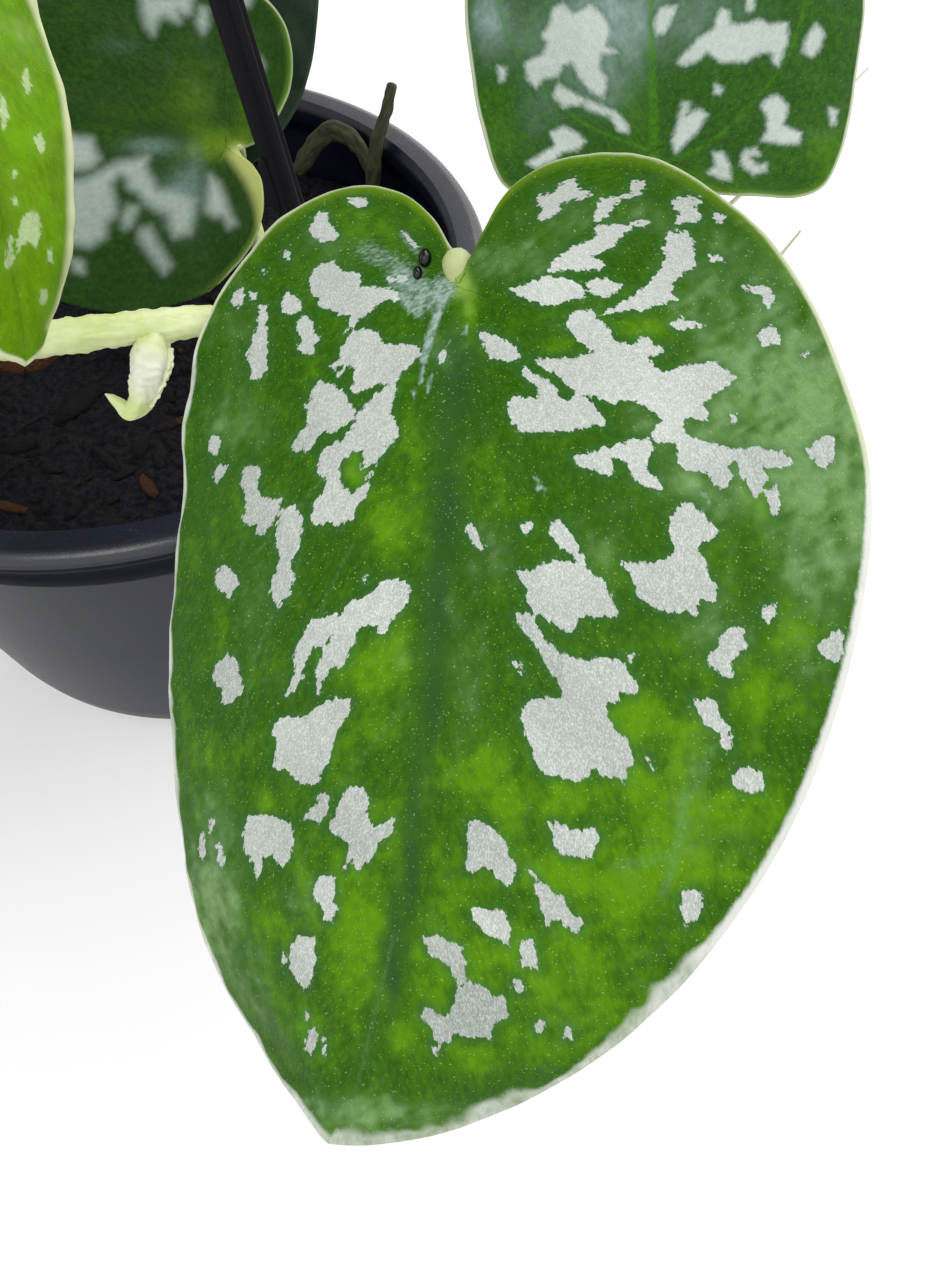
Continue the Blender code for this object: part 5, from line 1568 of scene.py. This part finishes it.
def soilLumps():
    draw = random.Random(soil["seed"])
    lumps = []
    for _ in range(soil["lumps"]):
        angle = draw.uniform(0, 2 * math.pi)
        reach = soil["lumpSpread"] * math.sqrt(draw.random())
        width, rise = draw.uniform(2.5, 6), draw.uniform(-1.2, 2.2)
        lumps.append((reach * math.cos(angle), reach * math.sin(angle), width, rise))
    return np.array(lumps)


soilEdge = outerWall(soil["top"]) - pot["wall"] - 0.5
lumpTable = soilLumps()


def soilHeight(x, y):
    # The soil's surface: a slight mound, plus a bell of its own width and rise for each lump.
    height = soil["top"] + 1.5 * (1 - (np.hypot(x, y) / pot["rim"]) ** 2)
    for lumpX, lumpY, width, rise in lumpTable:
        height = height + rise * np.exp(-((x - lumpX) ** 2 + (y - lumpY) ** 2) / width**2)
    return height


def makeSoil():
    # A disc of crumbs on the mound, and below its edge a profile turned down to the pot's floor.
    angle = np.linspace(0, 2 * np.pi, soil["steps"] + 1)[:, None]
    radius = np.linspace(0, 0.985 * soilEdge, soil["rings"])[None, :]
    x, y = radius * np.cos(angle), radius * np.sin(angle)
    flat = np.stack([x, y], -1)
    crumbs = ripple(41, flat, 3.4, 30) * 0.5 + ripple(42, flat, 1.7, 30) * 0.32
    crumbs = crumbs + ripple(43, flat, 0.9, 30) * 0.18
    height = soilHeight(x, y) + soil["crumb"] * crumbs * ramp(0, 3, soilEdge - radius)
    top = np.stack([x, y, height], -1)
    below = [
        (soilEdge, soil["top"] - 0.6), (outerWall(45) - 2, 45), (outerWall(12) - 2, 12), (48, 4.5),
        (0, 2.5),
    ]
    reach, drop = np.array(below).T
    sides = np.stack([reach * np.cos(angle), reach * np.sin(angle), drop + 0 * angle], -1)
    body = np.concatenate([top, sides], 1)
    makePiece("soilBed", [patch(body)], (soilMix,), ("soil",))


def makeChips():
    # Bark chips and crumbs: small pebbles of a few faces, squashed, turned and roughened by seeded
    # draws, half sunk in the soil; and fibres, which lie over it.
    draw = np.random.default_rng(soil["chipSeed"])
    ball = sphere(6, 8)

    def pebble(seed, x, y, size, heading, lean, shade):
        knobs = 1 + 0.22 * ripple(seed, ball, 1.6, 8)
        cosZ, sinZ, cosX, sinX = math.cos(heading), math.sin(heading), math.cos(lean), math.sin(lean)
        turnZ = np.array([[cosZ, sinZ, 0], [-sinZ, cosZ, 0], [0, 0, 1]])
        turnX = np.array([[1, 0, 0], [0, cosX, sinX], [0, -sinX, cosX]])
        place = np.array([x, y, float(soilHeight(x, y)) + size[2] * 0.25])
        points = (ball * knobs[..., None] * size) @ turnX @ turnZ + place
        return patch(points, dict(shade=np.full(points.shape[:2], float(shade))))

    parts = []
    for number in range(soil["chips"]):
        big = draw.uniform(0.5, 1.0) ** 2
        size = np.array([draw.uniform(2.5, 5.5), draw.uniform(1.2, 2.6), draw.uniform(0.5, 1.1)]) * big
        heading, lean = draw.uniform(0, 2 * np.pi), draw.normal(0, 0.25)
        reach, toward = soil["chipSpread"] * math.sqrt(draw.uniform(0, 1)), draw.uniform(0, 2 * np.pi)
        x, y = reach * math.cos(toward), reach * math.sin(toward)
        parts.append(pebble(500 + number, x, y, size, heading, lean, draw.uniform(0, 1)))
    for number, (x, y, *half, heading, shade) in enumerate(soil["shownChips"]):
        parts.append(pebble(900 + number, x, y, np.array(half), math.radians(heading), 0.1, shade))
    for _ in range(soil["fibres"]):
        reach = soil["fibreSpread"] * math.sqrt(draw.uniform(0, 1))
        toward, heading = draw.uniform(0, 2 * np.pi), draw.uniform(0, 2 * np.pi)
        walk = np.linspace(-1, 1, 12)[:, None] * draw.uniform(3, 9)
        bow = draw.uniform(-2.5, 2.5) * (1 - np.linspace(-1, 1, 12)[:, None] ** 2)
        x = reach * math.cos(toward) + walk * math.cos(heading) - bow * math.sin(heading)
        y = reach * math.sin(toward) + walk * math.sin(heading) + bow * math.cos(heading)
        route = np.hstack([x, y, soilHeight(x, y) + 0.5])
        points = tube(route, 0.16, 6)["points"]
        parts.append(patch(points, dict(shade=np.full(points.shape[:2], draw.uniform(0.5, 1)))))
    makePiece("barkChips", parts, (barkMix,))


makePot()
makeSoil()
makeChips()
print("pot and soil made")


# Hanger

hanger = dict(
    angles=(-45, 75, 195), width=3.7, thickness=2.0, ridgeWidth=1.2, ridgeHeight=0.8, footRadius=76.7,
    apex=405.0, hubFloor=388.0, hubHeight=11.0, hubRadius=7.5, wire=2.1, hookRadius=15.0, hookCentre=432.0,
    clip=(5.4, 2.0, 13.0),      # over the pot's lip: width, depth and height
    catch=(5.0, 4.4, 2.4),      # under the lip
    tab=(1.6, 1.2, 7.0),        # beside the strand
    tabHeight=47,               # over the lip
)


def makeStrand(number, angle):
    # A strip with a rounded ridge down its outer face: the section carried along a straight line
    # from the pot's lip to the hub. Below it are the clip that holds the lip, and a tab beside it.
    lean = math.atan2(hanger["footRadius"], hanger["apex"] - pot["height"])
    turn = math.radians(angle)
    outward = np.array([math.cos(turn), math.sin(turn), 0])
    aside = np.array([-math.sin(turn), math.cos(turn), 0])
    along = -math.sin(lean) * outward + math.cos(lean) * np.array([0, 0, 1])
    facing = np.cross(aside, along)
    facing = facing * np.sign(facing @ outward)
    side, back = hanger["width"] / 2, hanger["thickness"] / 2
    ridge, tall = hanger["ridgeWidth"] / 2, back + hanger["ridgeHeight"]
    corners = [
        (0, -back), (side, -back), (side, back), (ridge + 0.25, back), (ridge, tall), (-ridge, tall),
        (-ridge - 0.25, back), (-side, back), (-side, -back), (0, -back),
    ]
    section = roundedProfile(corners, 0.34, 5)

    def at(radius, rise):
        return outward * radius + np.array([0, 0, pot["height"] + rise])

    reach = (hanger["hubFloor"] + 2.5 - pot["height"]) / math.cos(lean)
    stations = np.r_[0, np.linspace(0, reach, 60), reach][:, None]
    grow = np.ones_like(stations)
    grow[0] = grow[-1] = 0
    across = section[None, :, 0] * grow
    out = section[None, :, 1] * grow
    strip = at(hanger["footRadius"], 0) + stations[..., None] * along + across[..., None] * aside
    strip = strip + out[..., None] * facing
    axes = np.stack([aside, outward, [0, 0, 1]])
    slanted = np.stack([aside, facing, along])
    radius = hanger["footRadius"]
    tabPlace = at(0.85 * radius + 0.1, hanger["tabHeight"]) - aside * side
    parts = [
        patch(strip),
        roundedBlock(at(radius + 0.35, -3.4), axes, hanger["clip"]),
        roundedBlock(at(radius - 1.05, -8.6), axes, hanger["catch"]),
        roundedBlock(tabPlace, slanted, hanger["tab"], 0.4),
    ]
    makePiece(f"strand{number}", parts, (hangerPlastic,), (f"hanger_arm_{number}",))


def makeHook():
    # The hub is a turned profile with a groove, and the hook a wire bent along an arc over it.
    high, floor, radius = hanger["hubFloor"] + hanger["hubHeight"], hanger["hubFloor"], hanger["hubRadius"]
    profile = [
        (0, high), (3.6, high), (5.0, high - 2), (radius, high - 5), (radius, high - 6.5),
        (radius - 0.4, high - 6.8), (radius - 0.4, high - 7.4), (radius, high - 7.7), (radius, floor + 1),
        (radius - 1, floor), (0, floor),
    ]
    turns = np.radians(np.linspace(-50, 212, 90))
    centre, bow = hanger["hookCentre"], hanger["hookRadius"]
    bend = np.stack([bow * np.cos(turns), 0 * turns, centre + bow * np.sin(turns)], -1)
    shank = smoothRoute([(0, 0, high - 2), (0, 0, high + 5), (2, 0, high + 11), bend[0]], 12)
    route = np.vstack([shank[:-1], bend])
    wire = tube(route, hanger["wire"], 28, blunt=0.9)
    parts = [turned(roundedProfile(profile, 0.6), 96), patch(wire["points"])]
    makePiece("hubAndHook", parts, (hangerPlastic,), ("hanger_hook",))


for number, angle in enumerate(hanger["angles"], 1):
    makeStrand(number, angle)
makeHook()
print("hanger made")


# The two dark beads beside the front leaf's stalk

beads = ((425, 258, 0.85), (417, 273, 0.62))  # pixel across, pixel down, radius in millimetres


def makeBeads():
    top = np.concatenate([part["points"].reshape(-1, 3) for part in leafSurfaces["leaf_front"][::2]])
    across, down, _ = toPhoto(top)
    parts = []
    for beadAcross, beadDown, radius in beads:
        place = top[np.argmin((across - beadAcross) ** 2 + (down - beadDown) ** 2)]
        parts.append(patch(place + sphere(16, 24) * radius * (0.88, 1.4, 1.05)))
    makePiece("beads", parts, (beadGloss,))


makeBeads()


# Floor and light

stage = dict(
    floorSize=6000, floorShade=174, floorGlow=0.385,
    skyStrength=1.75, skyDim=0.2, dimToward=(-0.3, 0.5, 0.8),
    keyPower=3.0, keySize=0.55, keyPlace=(0.3, 0.35, 0.65),
    fillPower=1.2, fillSize=0.3, fillPlace=(-0.15, -0.36, 0.86),
    aim=(0.02, -0.04, 0.1),     # what the lamps face, in metres as their places are
)


def makeFloor():
    half = stage["floorSize"] / 2
    step = np.linspace(-half, half, 3)
    x, y = np.meshgrid(step, step, indexing="ij")
    mesh = bpy.data.meshes.new("floor")
    corner = np.arange(2)[:, None] * 3 + np.arange(2)
    quads = np.stack([corner, corner + 3, corner + 4, corner + 1], -1).reshape(-1, 4)
    mesh.from_pydata(np.stack([x, y, 0 * x], -1).reshape(-1, 3) * mm, [], quads)
    floor = bpy.data.objects.new("floor", mesh)
    bpy.context.scene.collection.objects.link(floor)
    root, place, finish = newMaterial("floorPaper")
    shades = [tint(level, level, level, 1) for level in (stage["floorShade"], stage["floorShade"] - 1)]
    colour = place.noise(0.01, 0).blend(*shades)
    # The floor also glows a little: painted light that lifts the shadow round the pot.
    glow = dict(Emission_Color=(1, 1, 1, 1), Emission_Strength=stage["floorGlow"])
    mesh.materials.append(finish(colour, 0.9, None, Specular_IOR_Level=0.1, **glow))


def makeLight(name, power, size, place):
    data = bpy.data.lights.new(name, "AREA")
    data.energy = power
    data.size = size
    lamp = bpy.data.objects.new(name, data)
    lamp.location = place
    lamp.rotation_euler = (Vector(stage["aim"]) - Vector(place)).to_track_quat("-Z", "Y").to_euler()
    bpy.context.scene.collection.objects.link(lamp)


def makeSky():
    # An even white sky, dimmer where the photographer stands, and plain white to the camera.
    world = bpy.data.worlds.new("sky")
    world.use_nodes = True
    bpy.context.scene.world = world
    tree = world.node_tree
    root = Link(tree)
    toward = root.node("TexCoord", {}, {}, out="Generated")
    dimToward = tuple(float(x) for x in unit(np.array(stage["dimToward"])))
    dot = root.node("VectorMath", {"operation": "DOT_PRODUCT"}, {0: toward, 1: dimToward}, out="Value")
    strength = stage["skyStrength"] * (1 - dot.rise(0.68, 0.97) * (1 - stage["skyDim"]))
    seen = root.node("LightPath", {}, {}, out="Is Camera Ray")
    strength = strength + seen * (1.0 - strength)
    background = tree.nodes["Background"]
    background.inputs["Color"].default_value = (1, 1, 1, 1)
    tree.links.new(strength.socket, background.inputs["Strength"])


makeFloor()
makeSky()
makeLight("key", stage["keyPower"], stage["keySize"], stage["keyPlace"])
makeLight("fill", stage["fillPower"], stage["fillSize"], stage["fillPlace"])
bpy.context.scene.view_settings.view_transform = "Standard"
print("stage made")
